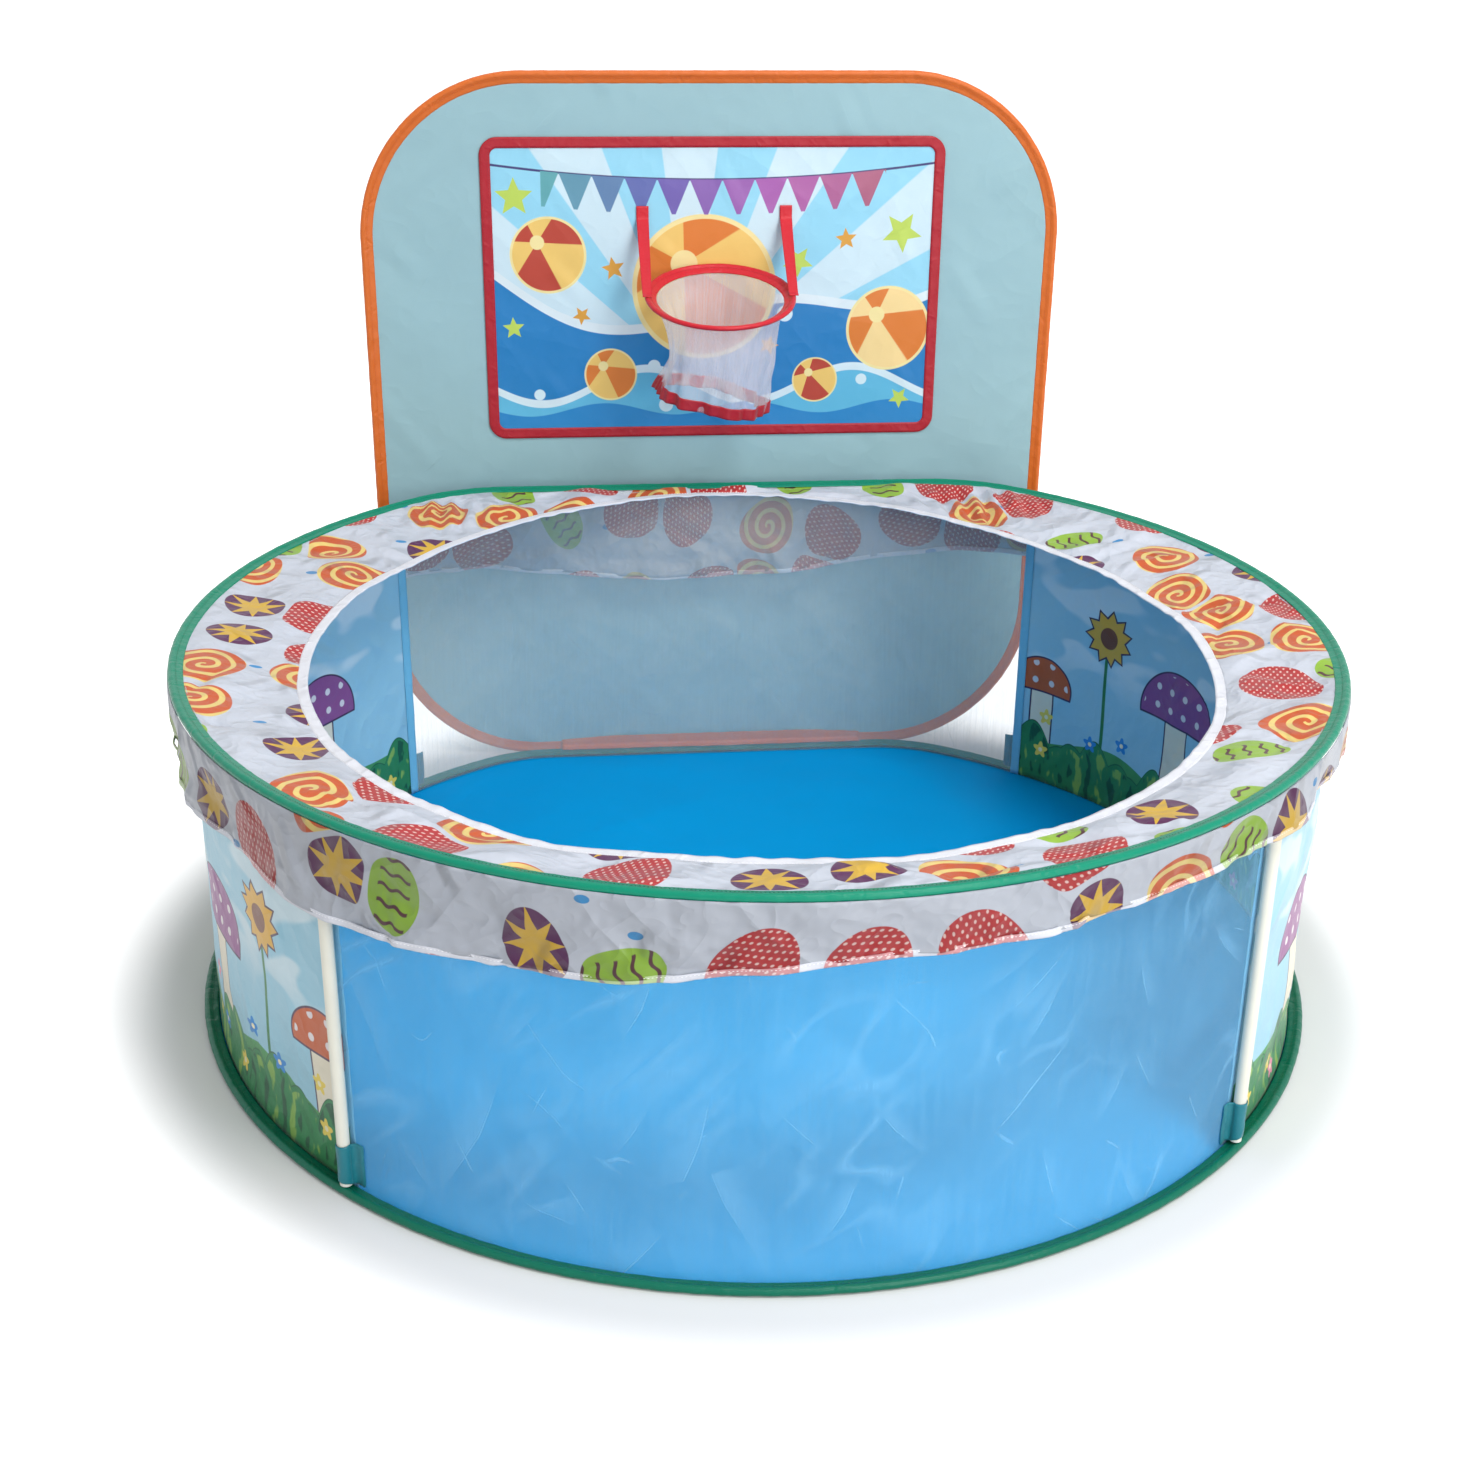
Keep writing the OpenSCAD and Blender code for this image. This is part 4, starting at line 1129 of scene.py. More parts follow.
def arc_wall(name, start, end, node, material, slot, bulge, seed):
    down, along = grid(48, 170)
    a = start + (end - start) * along
    z = WALL_HEAD + (WALL_FOOT - WALL_HEAD) * down
    uv = points((a - start) * RING_R, z)
    crush = creases(uv, seed, 60, 0.12, 9 * MM) * 0.8 + waves(polar(WALL_R, a, z), 0.13, seed + 1) * 0.6
    r = WALL_R - bulge * (0.6 + crush) * sewn_round(down, along)
    obj = dress(cloth(name, polar(r, a, z), uv), material)
    return put(obj, "pool", slot, node)


def back_wall():
    """The rear mesh, from one path at its head to another at its foot."""
    down, along = grid(48, 150)
    a = POLES["back_right"] + (POLES["back_left"] - POLES["back_right"]) * along
    inset = WALL_OUT + WALL_T / 2
    r = reach(TOP_FLAT, inset, a) * (1 - down) + reach(BOTTOM_FLAT, inset, a) * down
    head = WALL_HEAD - BACK_WALL_LOW
    z = head + (WALL_FOOT - head) * down
    uv = points((a - a[0, 0]) * RING_R, z)
    r = r - 3 * MM * (0.5 + creases(uv, 31, 40, 0.1, 7 * MM)) * sewn_round(down, along)
    obj = dress(cloth("back_mesh_sheet", polar(r, a, z), uv), LIT_BACK_MESH)
    return put(obj, "pool", "mesh", "back_mesh_wall")


def corner_seam(place_name):
    a0 = POLES[place_name]
    down, along = grid(60, 7)
    half = 6 * MM / (RING_R - WALL_OUT)
    a = a0 + half * (2 * along - 1)
    head, foot = WALL_HEAD - 2 * MM, WALL_FOOT + 0.3 * MM
    z = head + (foot - head) * down
    r = WALL_R - WALL_T / 2 - 0.7 * MM - waves(points(z, a * 0.6), 0.03, 5) * 0.25 * MM
    uv = points(a * RING_R, z)
    obj = dress(cloth("corner_tape_" + place_name, polar(r, a, z), uv, 0.8 * MM), SEAM_TAPE)
    put(obj, "pool", "seam_tape", "corner_seam_" + place_name)
    rows = [polar(r[:, 0] - 0.5 * MM, a0 + side * half * 0.7, z[:, 0]) for side in (-1, 1)]
    sewn = stitches("corner_stitches_" + place_name, rows, BLUE_THREAD)
    return obj, put(sewn, "pool", "seam_tape")


def pocket_plan():
    """The patch's path seen from above, in a frame whose X points away from the pool, about the pole."""
    bore = 6.75 * MM
    half = 18.5 * MM
    back = -(bore + 0.5 * MM)
    arc = np.linspace(math.radians(-118), math.radians(118), 25)
    neck = points([back, back, back + 0.4 * MM], [-half, -half * 0.72, -half * 0.52])
    return np.concatenate([neck, points(bore * np.cos(arc), bore * np.sin(arc)), (neck * [1, -1])[::-1]])


def pocket(place_name, low):
    node = ("lower_pocket_" if low else "upper_pocket_") + place_name
    foot, head = (corner.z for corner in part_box(node))
    plan = pocket_plan()
    down, _ = grid(22, len(plan))
    tuck = np.clip((down - 0.88) / 0.12, 0, 1)[..., None] ** 1.5
    back = points(np.full(len(plan), plan[0, 0]), plan[:, 1] * 0.9)
    shape = plan * (1 - tuck) + back * tuck
    spread = 1 + 0.05 * waves(points(down, shape[..., 0] * 40, shape[..., 1] * 40), 0.8, 17 + len(node))
    along = run_length(points(plan[:, 0], plan[:, 1]))
    z = head + (foot - head) * down if low else foot + (head - foot) * down
    z = z + 0.6 * MM * waves(points(shape[..., 0], shape[..., 1], down * 0.02), 0.02, 8) * (1 - down)
    a = POLES[place_name]
    x = POLE_LINE + shape[..., 0] * spread
    y = shape[..., 1]
    at = points(x * math.cos(a) - y * math.sin(a), x * math.sin(a) + y * math.cos(a), z)
    obj = cloth(node + "_patch", at, points(along[None, :], z), 0.7 * MM)
    if not low:
        obj.data.flip_normals()
    dress(obj, POCKET_CLOTH)
    return put(obj, "pool", "pocket_cloth", node)


# ---- Top cover ----

COVER_STEPS = 900             # points round the cover and its hem


def power(value, p):
    return np.sign(value) * np.abs(value) ** p


def mouth(a, grow):
    """The cover's opening seen from above, made wider all round by grow."""
    rear = np.sin(a) > 0
    bend = np.where(rear, REAR_BEND, FRONT_BEND)
    half = np.where(rear, MOUTH_REAR - MOUTH_MID, MOUTH_FRONT + MOUTH_MID)
    x = (MOUTH_X + grow) * power(np.cos(a), bend)
    return points(x, MOUTH_MID + (half + grow) * power(np.sin(a), bend))


def hem_height(a):
    """Height of the opening's hem: it sags, less at the rear, and waves a little."""
    rear = np.maximum(0, np.sin(a)) ** 2
    sag = MOUTH_SAG + (MOUTH_REAR_SAG - MOUTH_SAG) * rear
    sway = np.sin(7 * a + 1) * 1.6 + np.sin(11 * a + 2.2) * 1.3 + np.sin(19 * a) * 0.8
    return RING_Z - sag + sway * MM * (1 - 0.8 * rear)


def top_cover():
    """The cover, creased all over, drawn at its hem, and bunched at both ends of its straight rear."""
    t, along = grid(30, COVER_STEPS, end=False)
    a = along * TURN
    edge = reach(TOP_FLAT, COVER_IN, a)
    ring = points(edge * np.cos(a), edge * np.sin(a))
    flat = mouth(a, HEM_W - HEM_LAP) * (1 - t)[..., None] + ring * t[..., None]
    z = RING_Z - (RING_Z - hem_height(a)) * (1 - t) ** 1.3
    pull = np.sin(23 * a + 3 * np.sin(3 * a)) * np.sin(5 * a + 1) * (1 - t) ** 0.7
    bunch = np.exp(-((a - math.radians(52)) / 0.12) ** 2) + np.exp(-((a - math.radians(129)) / 0.1) ** 2)
    rough = creases(flat, 51, 150, 0.12, 10 * MM) * 8.5 + waves(flat, 0.13, 52) * 3.2 + pull * 2.2
    rough = rough + bunch * np.sin(flat[..., 0] * 260) * 4
    z = z + rough * MM * window(t, 0.22) + bunch * t * (1 - t) * 12 * MM
    at = points(flat[..., 0], flat[..., 1], z)
    obj = dress(cloth("top_cover_sheet", at, looped(flat, 0), loop=True), COVER_CLOTH)
    return put(obj, "pool", "cover_print", "top_cover")


def cover_hem():
    t, along = grid(6, COVER_STEPS, end=False)
    a = along * TURN
    ripple = waves(points(np.cos(a), np.sin(a)), 0.07, 61) * 0.6 * MM
    flat = mouth(a, HEM_W * t)
    at = points(flat[..., 0], flat[..., 1], hem_height(a) + ripple * (1 - t))
    uv = looped(points(along * MOUTH_ROUND, t * HEM_W), MOUTH_ROUND)
    obj = dress(cloth("top_cover_hem_band", at, uv, 1.5 * MM, loop=True), WHITE_HEM)
    put(obj, "pool", "white_hem", "top_cover_hem")
    line = closed(at[4]) + [0, 0, 0.95 * MM]
    sewn = stitches("top_cover_hem_stitches", [line], WHITE_THREAD)
    return obj, put(sewn, "pool", "white_hem")


# ---- Valance ----

VALANCE_STEPS = 1100          # points round the valance and its hem
VALANCE_SEAT = math.radians(30)       # how far below level it meets the ring's tape
VALANCE_TOP = RING_Z - (TAPE_R + 0.3 * MM) * math.sin(VALANCE_SEAT)
VALANCE_IN = TAPE_R - (TAPE_R + 0.3 * MM) * math.cos(VALANCE_SEAT)


def valance_drop(a):
    """How far down the valance's hem hangs by angle."""
    return VALANCE_DROP + sum(height * np.cos(waves_n * (a - math.radians(side)))
                              for waves_n, height, side in VALANCE_SWAYS)


def valance_fold(a):
    """The valance's broad flutes by angle, from -1 to 1."""
    turn = a - math.pi / 2
    return 0.6 * np.cos(13 * turn) + 0.4 * np.cos(22 * turn + math.radians(40))


def valance_at(down, a):
    """Points on the valance at a distance below its sewn edge."""
    t = np.maximum(down, 0) / VALANCE_DROP
    r = reach(TOP_FLAT, VALANCE_IN, a)
    uv = points(a * RING_R, down)
    crush = np.abs(creases(uv, 71, 300, 0.07, 9 * MM, TURN * RING_R)) * 6
    crush = 6 * np.tanh(crush / 6) + waves(polar(RING_R, a, down), 0.08, 72) * 2 + 0.8
    near = np.min([np.abs((a - pole + math.pi) % TURN - math.pi) for pole in POLES.values()], axis=0) * RING_R
    slack = VALANCE_SLACK * np.clip((near - 25 * MM) / (60 * MM), 0, 1)
    r = r + VALANCE_FLARE * t ** 0.6 + VALANCE_FOLD * valance_fold(a) * t
    r = r + (crush * MM - slack) * np.minimum(t * 1.6, 1)
    return polar(r + 0.4 * MM, a, VALANCE_TOP - down)


def valance():
    t, along = grid(28, VALANCE_STEPS, end=False)
    a = along * TURN
    down = t * (valance_drop(a) - VALANCE_HEM * 0.5)
    uv = looped(points(a * RING_R, VALANCE_DROP - down), TURN * RING_R)
    obj = dress(cloth("valance_sheet", valance_at(down, a), uv, loop=True), VALANCE_CLOTH)
    return put(obj, "pool", "cover_print", "valance")


def valance_hem():
    t, along = grid(5, VALANCE_STEPS, end=False)
    a = along * TURN
    down = valance_drop(a) - VALANCE_HEM * (1 - t)
    uv = looped(points(a * RING_R, VALANCE_DROP - down), TURN * RING_R)
    at = valance_at(down, a)
    obj = dress(cloth("valance_hem_band", at, uv, 1.3 * MM, loop=True), VALANCE_HEM_CLOTH)
    put(obj, "pool", "white_hem", "valance_hem")
    line = closed(at[1] + polar(0.8 * MM, a[1], 0))
    sewn = stitches("valance_hem_stitches", [line], WHITE_THREAD)
    return obj, put(sewn, "pool", "white_hem")


# ---- Backboard ----

def frame_line(w, h, r, inset):
    """A rounded rectangle about its middle, anticlockwise, with its sides and corners in even steps."""
    pitch, line = 3 * MM, []
    for turn, (half, other) in enumerate(((w / 2, h / 2), (h / 2, w / 2)) * 2):
        out = other - inset
        steps = max(int((2 * half - 2 * r) / pitch), 2)
        side = points(np.linspace(half - r, r - half, steps), out)
        bend = np.linspace(math.pi / 2, math.pi, max(int(r * math.pi / 2 / pitch), 6))[1:-1]
        corner = points(r - half + (r - inset) * np.cos(bend), other - r + (r - inset) * np.sin(bend))
        whole = np.concatenate([side, corner])
        c, s = math.cos(turn * math.pi / 2), math.sin(turn * math.pi / 2)
        line.append(points(whole[:, 0] * c - whole[:, 1] * s, whole[:, 0] * s + whole[:, 1] * c))
    return np.concatenate(line)


def frame_reach(w, h, r, a):
    """Distance from the middle of a rounded rectangle to its edge at polar angle a."""
    c, s = np.abs(np.cos(a)), np.abs(np.sin(a))
    cx, cy = w / 2 - r, h / 2 - r
    straight = np.minimum(w / 2 / np.maximum(c, 1e-9), h / 2 / np.maximum(s, 1e-9))
    along = cx * c + cy * s
    bent = along + np.sqrt(np.maximum(along ** 2 - cx * cx - cy * cy + r * r, 0))
    in_corner = (straight * c > cx) & (straight * s > cy)
    return np.where(in_corner, bent, straight)


def board_wave(x, z):
    """How far the backboard's cloth stands back from its middle plane, 0 near the hoop and at the tape."""
    up = z - BOARD_Z
    flat = points(x, up)
    out = np.hypot(x, up) / frame_reach(BOARD_W - 2 * TAPE_W, BOARD_H - 2 * TAPE_W, BOARD_CORNER - TAPE_W,
                                        np.arctan2(up, x))
    edge = np.clip((1 - out) / 0.2, 0, 1)
    near_hoop = np.exp(-(x / 0.13) ** 2 - ((z - HOOP_Z - 0.03) / 0.07) ** 2)
    crush = creases(flat, 82, 40, 0.2, 22 * MM)
    swell = (waves(flat, 0.3, 81) * 0.5 + 0.5) * 3.5 + (crush * 0.5 + 0.5) * 2.2
    return BOARD_SWELL * np.tanh(np.maximum(swell, 0) * MM / BOARD_SWELL) * edge * (1 - near_hoop)


def board_sheet():
    out, a = disc_grid(161)
    r = out * frame_reach(BOARD_W - 2 * CLOTH_IN, BOARD_H - 2 * CLOTH_IN, BOARD_CORNER - CLOTH_IN, a)
    x, z = r * np.cos(a), r * np.sin(a) + BOARD_Z
    share_x, share_z = np.abs(x) / (ART_W / 2), np.abs(z - ART_Z) / (ART_H / 2)
    behind_art = np.clip((1.06 - share_x) * 10, 0, 1) * np.clip((1.06 - share_z) * 10, 0, 1) * MM
    at = points(x, BOARD_Y + board_wave(x, z) + behind_art, z)
    obj = dress(cloth("board_cloth_sheet", at, points(x, z)), BOARD_CLOTH)
    return put(obj, "board", "board_cloth", "board_sheet")


STAND = Matrix.Translation((0, BOARD_Y, BOARD_Z)) @ Matrix.Rotation(math.pi / 2, 4, "X")


def board_tape():
    line = frame_line(BOARD_W, BOARD_H, BOARD_CORNER, 0)
    obj = place(bound_edge("board_tape_edge", line, TAPE_R, TAPE_W, ORANGE_TAPE), STAND)
    put(obj, "board", "board_tape", "board_binding")
    rows = seam_lines(frame_line(BOARD_W, BOARD_H, BOARD_CORNER, SEAM_IN), [SEAM_OFF, -SEAM_OFF])
    sewn = place(stitches("board_tape_stitches", rows, ORANGE_THREAD), STAND)
    return obj, put(sewn, "board", "board_tape")


def art_panel():
    down, along = grid(90, 130)
    w, h = ART_W - 2 * ART_CLOTH_IN, ART_H - 2 * ART_CLOTH_IN
    x, up = (along - 0.5) * w, (down - 0.5) * h
    at = points(x, ART_Y + 0.35 * MM + board_wave(x, up + ART_Z), up + ART_Z)
    obj = dress(cloth("art_panel_sheet", at, points(x, up), 0.5 * MM), ART_CLOTH)
    return put(obj, "board", "art_print", "art_panel")


def art_tape():
    """A flat tape round the picture panel, mitred at its rounded corners."""
    outer = frame_line(ART_W, ART_H, ART_CORNER, 0)
    inner = frame_line(ART_W, ART_H, ART_CORNER, ART_TAPE_W)
    t = np.linspace(0, 1, 6)[:, None, None]
    flat = outer[None] * (1 - t) + inner[None] * t
    x, z = flat[..., 0], flat[..., 1] + ART_Z
    pucker = waves(flat, 0.018, 91) * 0.3 * MM
    at = points(x, ART_Y - 0.25 * MM + board_wave(x, z) - np.abs(pucker), z)
    uv = points(run_length(closed(outer))[None, :], np.linspace(0, ART_TAPE_W, 6)[:, None])
    obj = dress(cloth("art_tape_edge", at, uv, 0.8 * MM, loop=True), RED_TAPE)
    put(obj, "board", "red_tape", "art_binding")
    rows = [closed(row) - [0, 0.55 * MM, 0] for row in (at[1], at[4])]
    sewn = stitches("art_tape_stitches", rows, RED_THREAD)
    return obj, put(sewn, "board", "red_tape")


def hinge_tape():
    """The cloth hinge, from the bottom ring's tape to the backboard's foot."""
    line = np.array([[BOTTOM_FLAT - 9 * MM, 8.8 * MM], [BOTTOM_FLAT - 2 * MM, 9.0 * MM],
                     [BOTTOM_FLAT + 0.4 * MM, 11.5 * MM], [BOARD_Y - 3.6 * MM, 17 * MM],
                     [BOARD_Y - 2.4 * MM, 26 * MM]])
    run = run_length(line)
    fine = np.linspace(0, run[-1], 20)
    y, z = np.interp(fine, run, line[:, 0]), np.interp(fine, run, line[:, 1])
    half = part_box("board_hinge_tape")[1].x - 1 * MM
    x = np.linspace(half, -half, 120)
    at = points(x[None, :], y[:, None], z[:, None])
    full = np.clip((half - np.abs(x)) / (70 * MM), 0, 1) ** 0.7
    at[..., 2] = np.minimum(at[..., 2], (16.5 + 4.5 * full)[None, :] * MM + 0.4 * (at[..., 2] - 21 * MM))
    at[..., 2] += waves(at, 0.03, 95) * 0.3 * MM
    uv = points(x[None, :], fine[:, None])
    return dress(cloth("board_hinge_strip", at, uv, 0.8 * MM), ORANGE_TAPE)


# ---- Hoop, straps and net ----

ON_HOOP = Matrix.Translation((0, HOOP_Y, HOOP_Z)) @ Matrix.Rotation(HOOP_DROOP, 4, "X")
HOOP_LINE = HOOP_R - HOOP_TAPE_R


def hoop_tape():
    a = np.linspace(0, TURN, 260, endpoint=False) + math.pi / 2
    ring = points(HOOP_R * np.cos(a), HOOP_R * np.sin(a))
    obj = bound_edge("hoop_tape_edge", ring, HOOP_TAPE_R, HOOP_TAPE_W, HOOP_TAPE, pucker=0.9 * MM,
                     fineness=110.0, hang=-HOOP_TAPE_HANG)
    at_hinge = ON_HOOP @ Matrix.Translation((0, -HOOP_LINE, 0))
    place(obj, at_hinge)
    put(obj, "hoop", "hoop_tape", "hoop_binding")
    seams = hung(np.array([[-7.4, 2.1], [-7.4, -2.1]]) * MM, HOOP_TAPE_R, HOOP_TAPE_HANG)
    rows = [seam_lines(ring * (HOOP_R + x) / HOOP_R, [z])[0] for x, z in seams]
    sewn = place(stitches("hoop_tape_stitches", rows, RED_THREAD), at_hinge)
    put(sewn, "hoop", "hoop_tape")


def hoop_strap(side):
    c, s = math.cos(HOOP_DROOP), math.sin(HOOP_DROOP)
    droop = np.array([[c, -s], [s, c]])
    end = np.array([HOOP_Y, HOOP_Z]) + droop @ [-HOOP_LINE, HOOP_TAPE_R + 0.9 * MM]
    lap = end + droop @ [-STRAP_W / 2, 0]
    seat = ART_Y - 1.1 * MM
    line = np.array([[seat, HOOP_Z + STRAP_RISE + STRAP_W], [seat, HOOP_Z + STRAP_RISE], end, lap])
    run = run_length(line)
    fine = np.linspace(0, run[-1], 60)
    y, z = np.interp(fine, run, line[:, 0]), np.interp(fine, run, line[:, 1])
    slack = np.clip((fine - run[1]) / (run[2] - run[1]), 0, 1)
    z = z - np.sin(slack * math.pi) * 3 * MM
    width = STRAP_W * (1 - 0.25 * slack)
    share = np.linspace(0.5, -0.5, 9)
    x = side * HOOP_LINE + share[None, :] * width[:, None]
    cup = (np.abs(share) * 2)[None, :] ** 2 * np.sin(slack * math.pi)[:, None] * 1.6 * MM
    at = points(x, y[:, None] - cup, z[:, None])
    name = "left" if side < 0 else "right"
    obj = cloth("hoop_strap_" + name + "_band", at, points(x, fine[:, None]), 0.9 * MM)
    dress(obj, HOOP_TAPE)
    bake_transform(obj)
    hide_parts("hoop_strap_" + name)
    return obj


def net_lift(a):
    """How far the net's foot is drawn up, most at its left and its front."""
    return NET_TILT[0] - NET_TILT[1] * np.cos(a) - NET_TILT[2] * np.sin(a)


def net_at(down, a, out=0.0):
    """Points on the net, where down goes from 0 at the hoop's tape to 1 at its foot."""
    end_x, end_z = hung(np.array([-HOOP_TAPE_W - 0.3 * MM, 0]), HOOP_TAPE_R, HOOP_TAPE_HANG)
    top_r = HOOP_R + end_x
    drawn = top_r + (NET_FOOT_R - top_r) * down ** 0.8
    r = drawn + 2.5 * MM * np.cos(9 * a) * down + out
    level = down * 0.4
    lift = top_r * np.sin(a) * (1 - level) - HOOP_LINE
    gathered = np.maximum(-np.cos(a + 0.4), 0) ** 2
    drape = np.sin(5 * a + 1) * 3.6 + np.sin(14 * a) * 2.2 + np.sin(23 * a + 2) * (1.1 + 2.2 * gathered)
    r = r + drape * MM * down - 20 * MM * gathered * np.sin(math.pi * np.minimum(down, 1)) ** 1.3
    raised = down * down * net_lift(a) + end_z * (1 - down)
    return points(r * np.cos(a) - NET_SKEW * down,
                  HOOP_Y + (r * np.sin(a) - HOOP_LINE) * math.cos(HOOP_DROOP),
                  HOOP_Z + lift * math.sin(HOOP_DROOP) - NET_DEPTH * down + raised)


def net():
    down, along = grid(46, 220, end=False)
    a = along * TURN
    at = net_at(down, a)
    at += polar(waves(at, 0.03, 101) * 1.2 * MM * down, a, 0)
    uv = looped(points(a * NET_FOOT_R, down * NET_DEPTH), TURN * NET_FOOT_R)
    obj = dress(cloth("net_sheet", at, uv, 0.4 * MM, loop=True), NET_MESH)
    return put(obj, "hoop", "net_mesh", "net")


def net_hem():
    down, along = grid(8, 220, end=False)
    a = along * TURN
    down = 1 - NET_HEM / (NET_DEPTH - 2 * net_lift(a)) * (1 - down)
    at = net_at(down, a, 0.8 * MM)
    uv = looped(points(a * NET_FOOT_R, down * NET_DEPTH), TURN * NET_FOOT_R)
    obj = dress(cloth("net_hem_band", at, uv, 1.0 * MM, loop=True), RED_TAPE)
    return put(obj, "hoop", "red_tape", "net_hem")


# ---- The frame's own parts ----

for sprung in ("bottom_ring", "top_ring", "board", "hoop"):
    dress(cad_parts[sprung + "_wire"], SPRING_STEEL)
    dress(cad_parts[sprung + "_ferrule"], FERRULE_STEEL)
for pole_name in POLES:
    dress(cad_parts["pole_" + pole_name], POLE_PLASTIC)
dress(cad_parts["pole_end_plugs"], PLUG_PLASTIC)

# ---- Assembly ----

floor_piece = floor_sheet()
bottom_tape = ring_tape("bottom_ring_tape", "bottom_ring_binding", BOTTOM_FLAT, TAPE_R, SHADED_GREEN_TAPE,
                        foot=0.1 * MM)
top_tape = ring_tape("top_ring_tape", "top_ring_binding", TOP_FLAT, RING_Z, LIT_GREEN_TAPE)
front_wall = arc_wall("front_mesh_sheet", POLES["front_left"], POLES["front_right"], "front_mesh_wall",
                      WALL_MESH, "mesh", 3.2 * MM, 21)
left_wall = arc_wall("left_side_sheet", POLES["back_left"], POLES["front_left"], "left_side_panel",
                     SIDE_CLOTH, "side_print", 3 * MM, 22)
right_wall = arc_wall("right_side_sheet", POLES["front_right"] - TURN, POLES["back_right"],
                      "right_side_panel", SIDE_CLOTH, "side_print", 3 * MM, 23)
rear_wall = back_wall()
seams = {name: corner_seam(name) for name in POLES}
pockets = {(name, low): pocket(name, low) for name in POLES for low in (True, False)}
cover_piece = top_cover()
hem_piece, hem_stitches = cover_hem()
valance_piece = valance()
valance_band, valance_stitches = valance_hem()
board_piece = board_sheet()
board_edge, board_stitches = board_tape()
art_piece = art_panel()
art_edge, art_stitches = art_tape()
hinge_piece = hinge_tape()
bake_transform(hinge_piece)
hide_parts("board_hinge_tape")
hoop_tape()
straps = [hoop_strap(-1), hoop_strap(1)]
net_piece = net()
net_band = net_hem()
for soft in (net_piece, net_band):
    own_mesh(soft)

# ---- Sheets as they were cut: flat areas and lists of pieces, worked out and not used ----

HOLE_AREA = sheet_area(mouth(np.linspace(0, TURN, 400), HEM_W - HEM_LAP))
sheet_area(ring_line(BOTTOM_FLAT, CLOTH_IN))
([pockets[name, low] for name in ("front_left", "front_right") for low in (True, False)]
         + [piece for name in ("front_left", "front_right") for piece in seams[name]])
([pockets[name, low] for name in ("back_left", "back_right") for low in (True, False)]
         + [piece for name in ("back_left", "back_right") for piece in seams[name]])
sheet_area(ring_line(TOP_FLAT, COVER_IN)) - HOLE_AREA
sheet_area(frame_line(BOARD_W, BOARD_H, BOARD_CORNER, CLOTH_IN))


# ---- Camera, light and stage ----

FRAME_PX = 1460
WORLD_LIGHT = 0.55            # of the white world, as a light
STAGE_HALF = 30.0             # half of the studio floor's side
STAGE_Z = -0.4 * MM
STAGE_GREY = 0.8
STAGE_GLOW = 0.8              # of the floor away from the object
GLOW_RISES = (0.625, 0.745)   # how far out the glow starts, and is whole


def camera(place_at, yaw, pitch, roll, focal):
    turn = Matrix.Rotation(yaw, 3, "Z")
    ahead = turn @ Vector((0, math.cos(pitch), -math.sin(pitch)))
    right = turn @ Vector((1, 0, 0))
    up = right.cross(ahead)
    c, s = math.cos(roll), math.sin(roll)
    across, above = c * right + s * up, c * up - s * right
    data = bpy.data.cameras.new("camera")
    data.sensor_width = 36
    data.lens = focal / FRAME_PX * data.sensor_width
    data.clip_end = 50
    obj = bpy.data.objects.new("camera", data)
    bpy.context.scene.collection.objects.link(obj)
    basis = Matrix((across, above, -ahead)).transposed().to_4x4()
    obj.matrix_world = Matrix.Translation(place_at) @ basis
    bpy.context.scene.camera = obj


def lamp(name, at, aim, width, power_w):
    data = bpy.data.lights.new(name, "AREA")
    data.shape = "DISK"
    data.size = width
    data.energy = power_w
    obj = bpy.data.objects.new(name, data)
    bpy.context.scene.collection.objects.link(obj)
    obj.location = at
    obj.rotation_mode = "QUATERNION"
    obj.rotation_quaternion = (Vector(aim) - Vector(at)).to_track_quat("-Z", "Y")


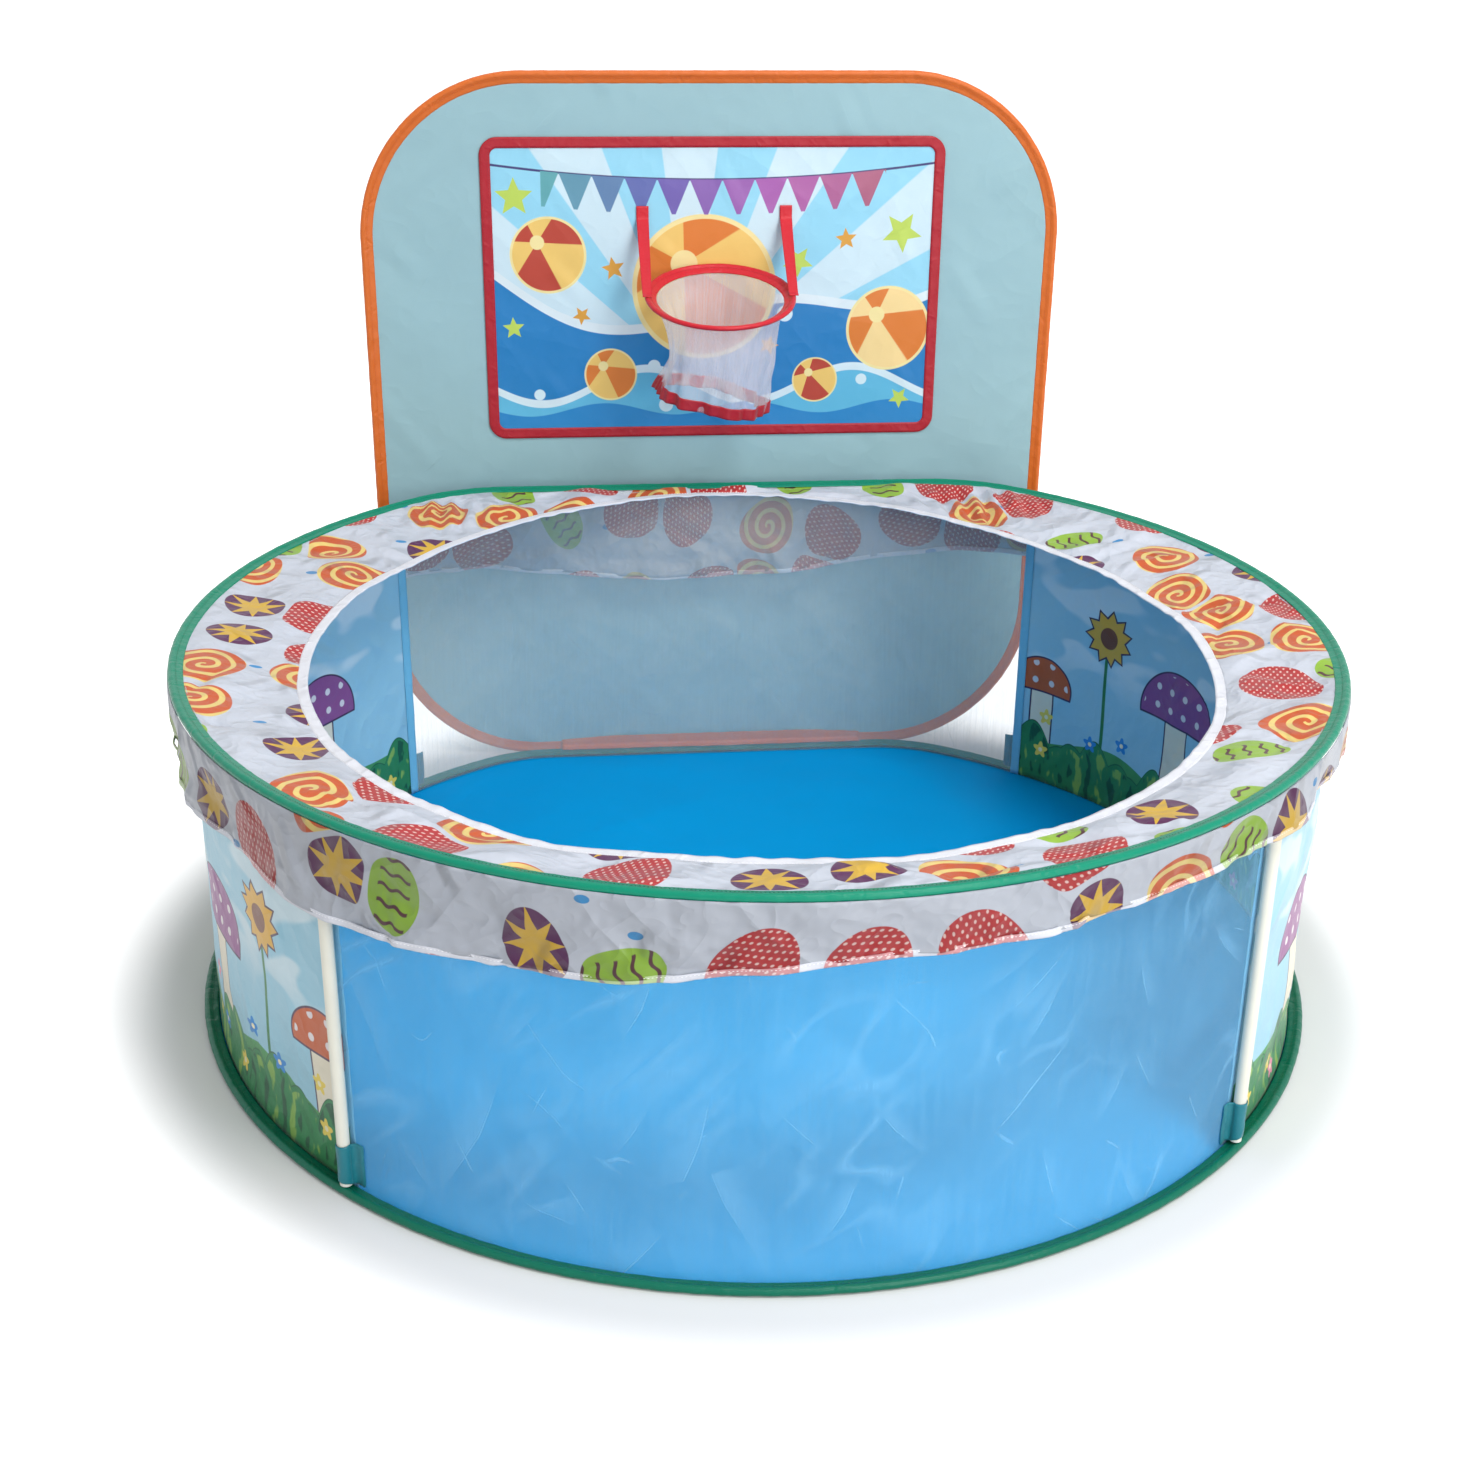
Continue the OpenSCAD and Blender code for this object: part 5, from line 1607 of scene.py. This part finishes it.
def seen_white(tree, dim, bright):
    """A socket that is bright to the camera and in reflections, and dim as a light."""
    path = tree.nodes.new("ShaderNodeLightPath")
    rays = ("Is Camera Ray", "Is Glossy Ray", "Is Transmission Ray")
    straight, mirrored, through = (Field(tree, path.outputs[ray]) for ray in rays)
    return dim + most(straight, most(mirrored, through)) * (bright - dim)


def stage():
    world = bpy.data.worlds.new("studio")
    bpy.context.scene.world = world
    world.use_nodes = True
    tree = world.node_tree
    background = tree.nodes["Background"]
    background.inputs["Color"].default_value = (1, 1, 1, 1)
    plug(tree, seen_white(tree, WORLD_LIGHT, 1.0), background.inputs["Strength"])
    mesh = bpy.data.meshes.new("studio_floor")
    corners = [(sx * STAGE_HALF, sy * STAGE_HALF, STAGE_Z) for sx, sy in ((-1, -1), (1, -1), (1, 1), (-1, 1))]
    mesh.from_pydata(corners, [], [(0, 1, 2, 3)])
    obj = bpy.data.objects.new("studio_floor", mesh)
    bpy.context.scene.collection.objects.link(obj)
    material, tree, shader = new_material("studio_floor")
    shader.inputs["Base Color"].default_value = (STAGE_GREY, STAGE_GREY, STAGE_GREY, 1)
    shader.inputs["Roughness"].default_value = 0.9
    shader.inputs["Specular IOR Level"].default_value = 0.1
    shader.inputs["Emission Color"].default_value = (1, 1, 1, 1)
    x, y, _ = split(place_of(tree))
    # painted light: away from the pool the floor glows to the camera, which paints its cast shadows out to
    # white; near the pool's foot it doesn't glow, so its shadows show
    glow = rise(far(x, y), *GLOW_RISES) * STAGE_GLOW
    plug(tree, seen_white(tree, 0.0, 1.0) * glow, shader.inputs["Emission Strength"])
    dress(obj, material)


camera((-0.2225, -1.9532, 1.1335), yaw=-0.0992, pitch=0.416, roll=0.0103, focal=2000)
stage()
lamp("key", (1.05, -1.5, 3.2), (0, 0.1, 0.3), 1.2, 52)
lamp("front", (1.25, -2.75, 1.3), (0, 0.3, 0.3), 1.6, 38)
lamp("top", (-0.5, 0.7, 3.2), (0, 0, 0), 2.0, 8)
bpy.context.scene.view_settings.view_transform = "Standard"
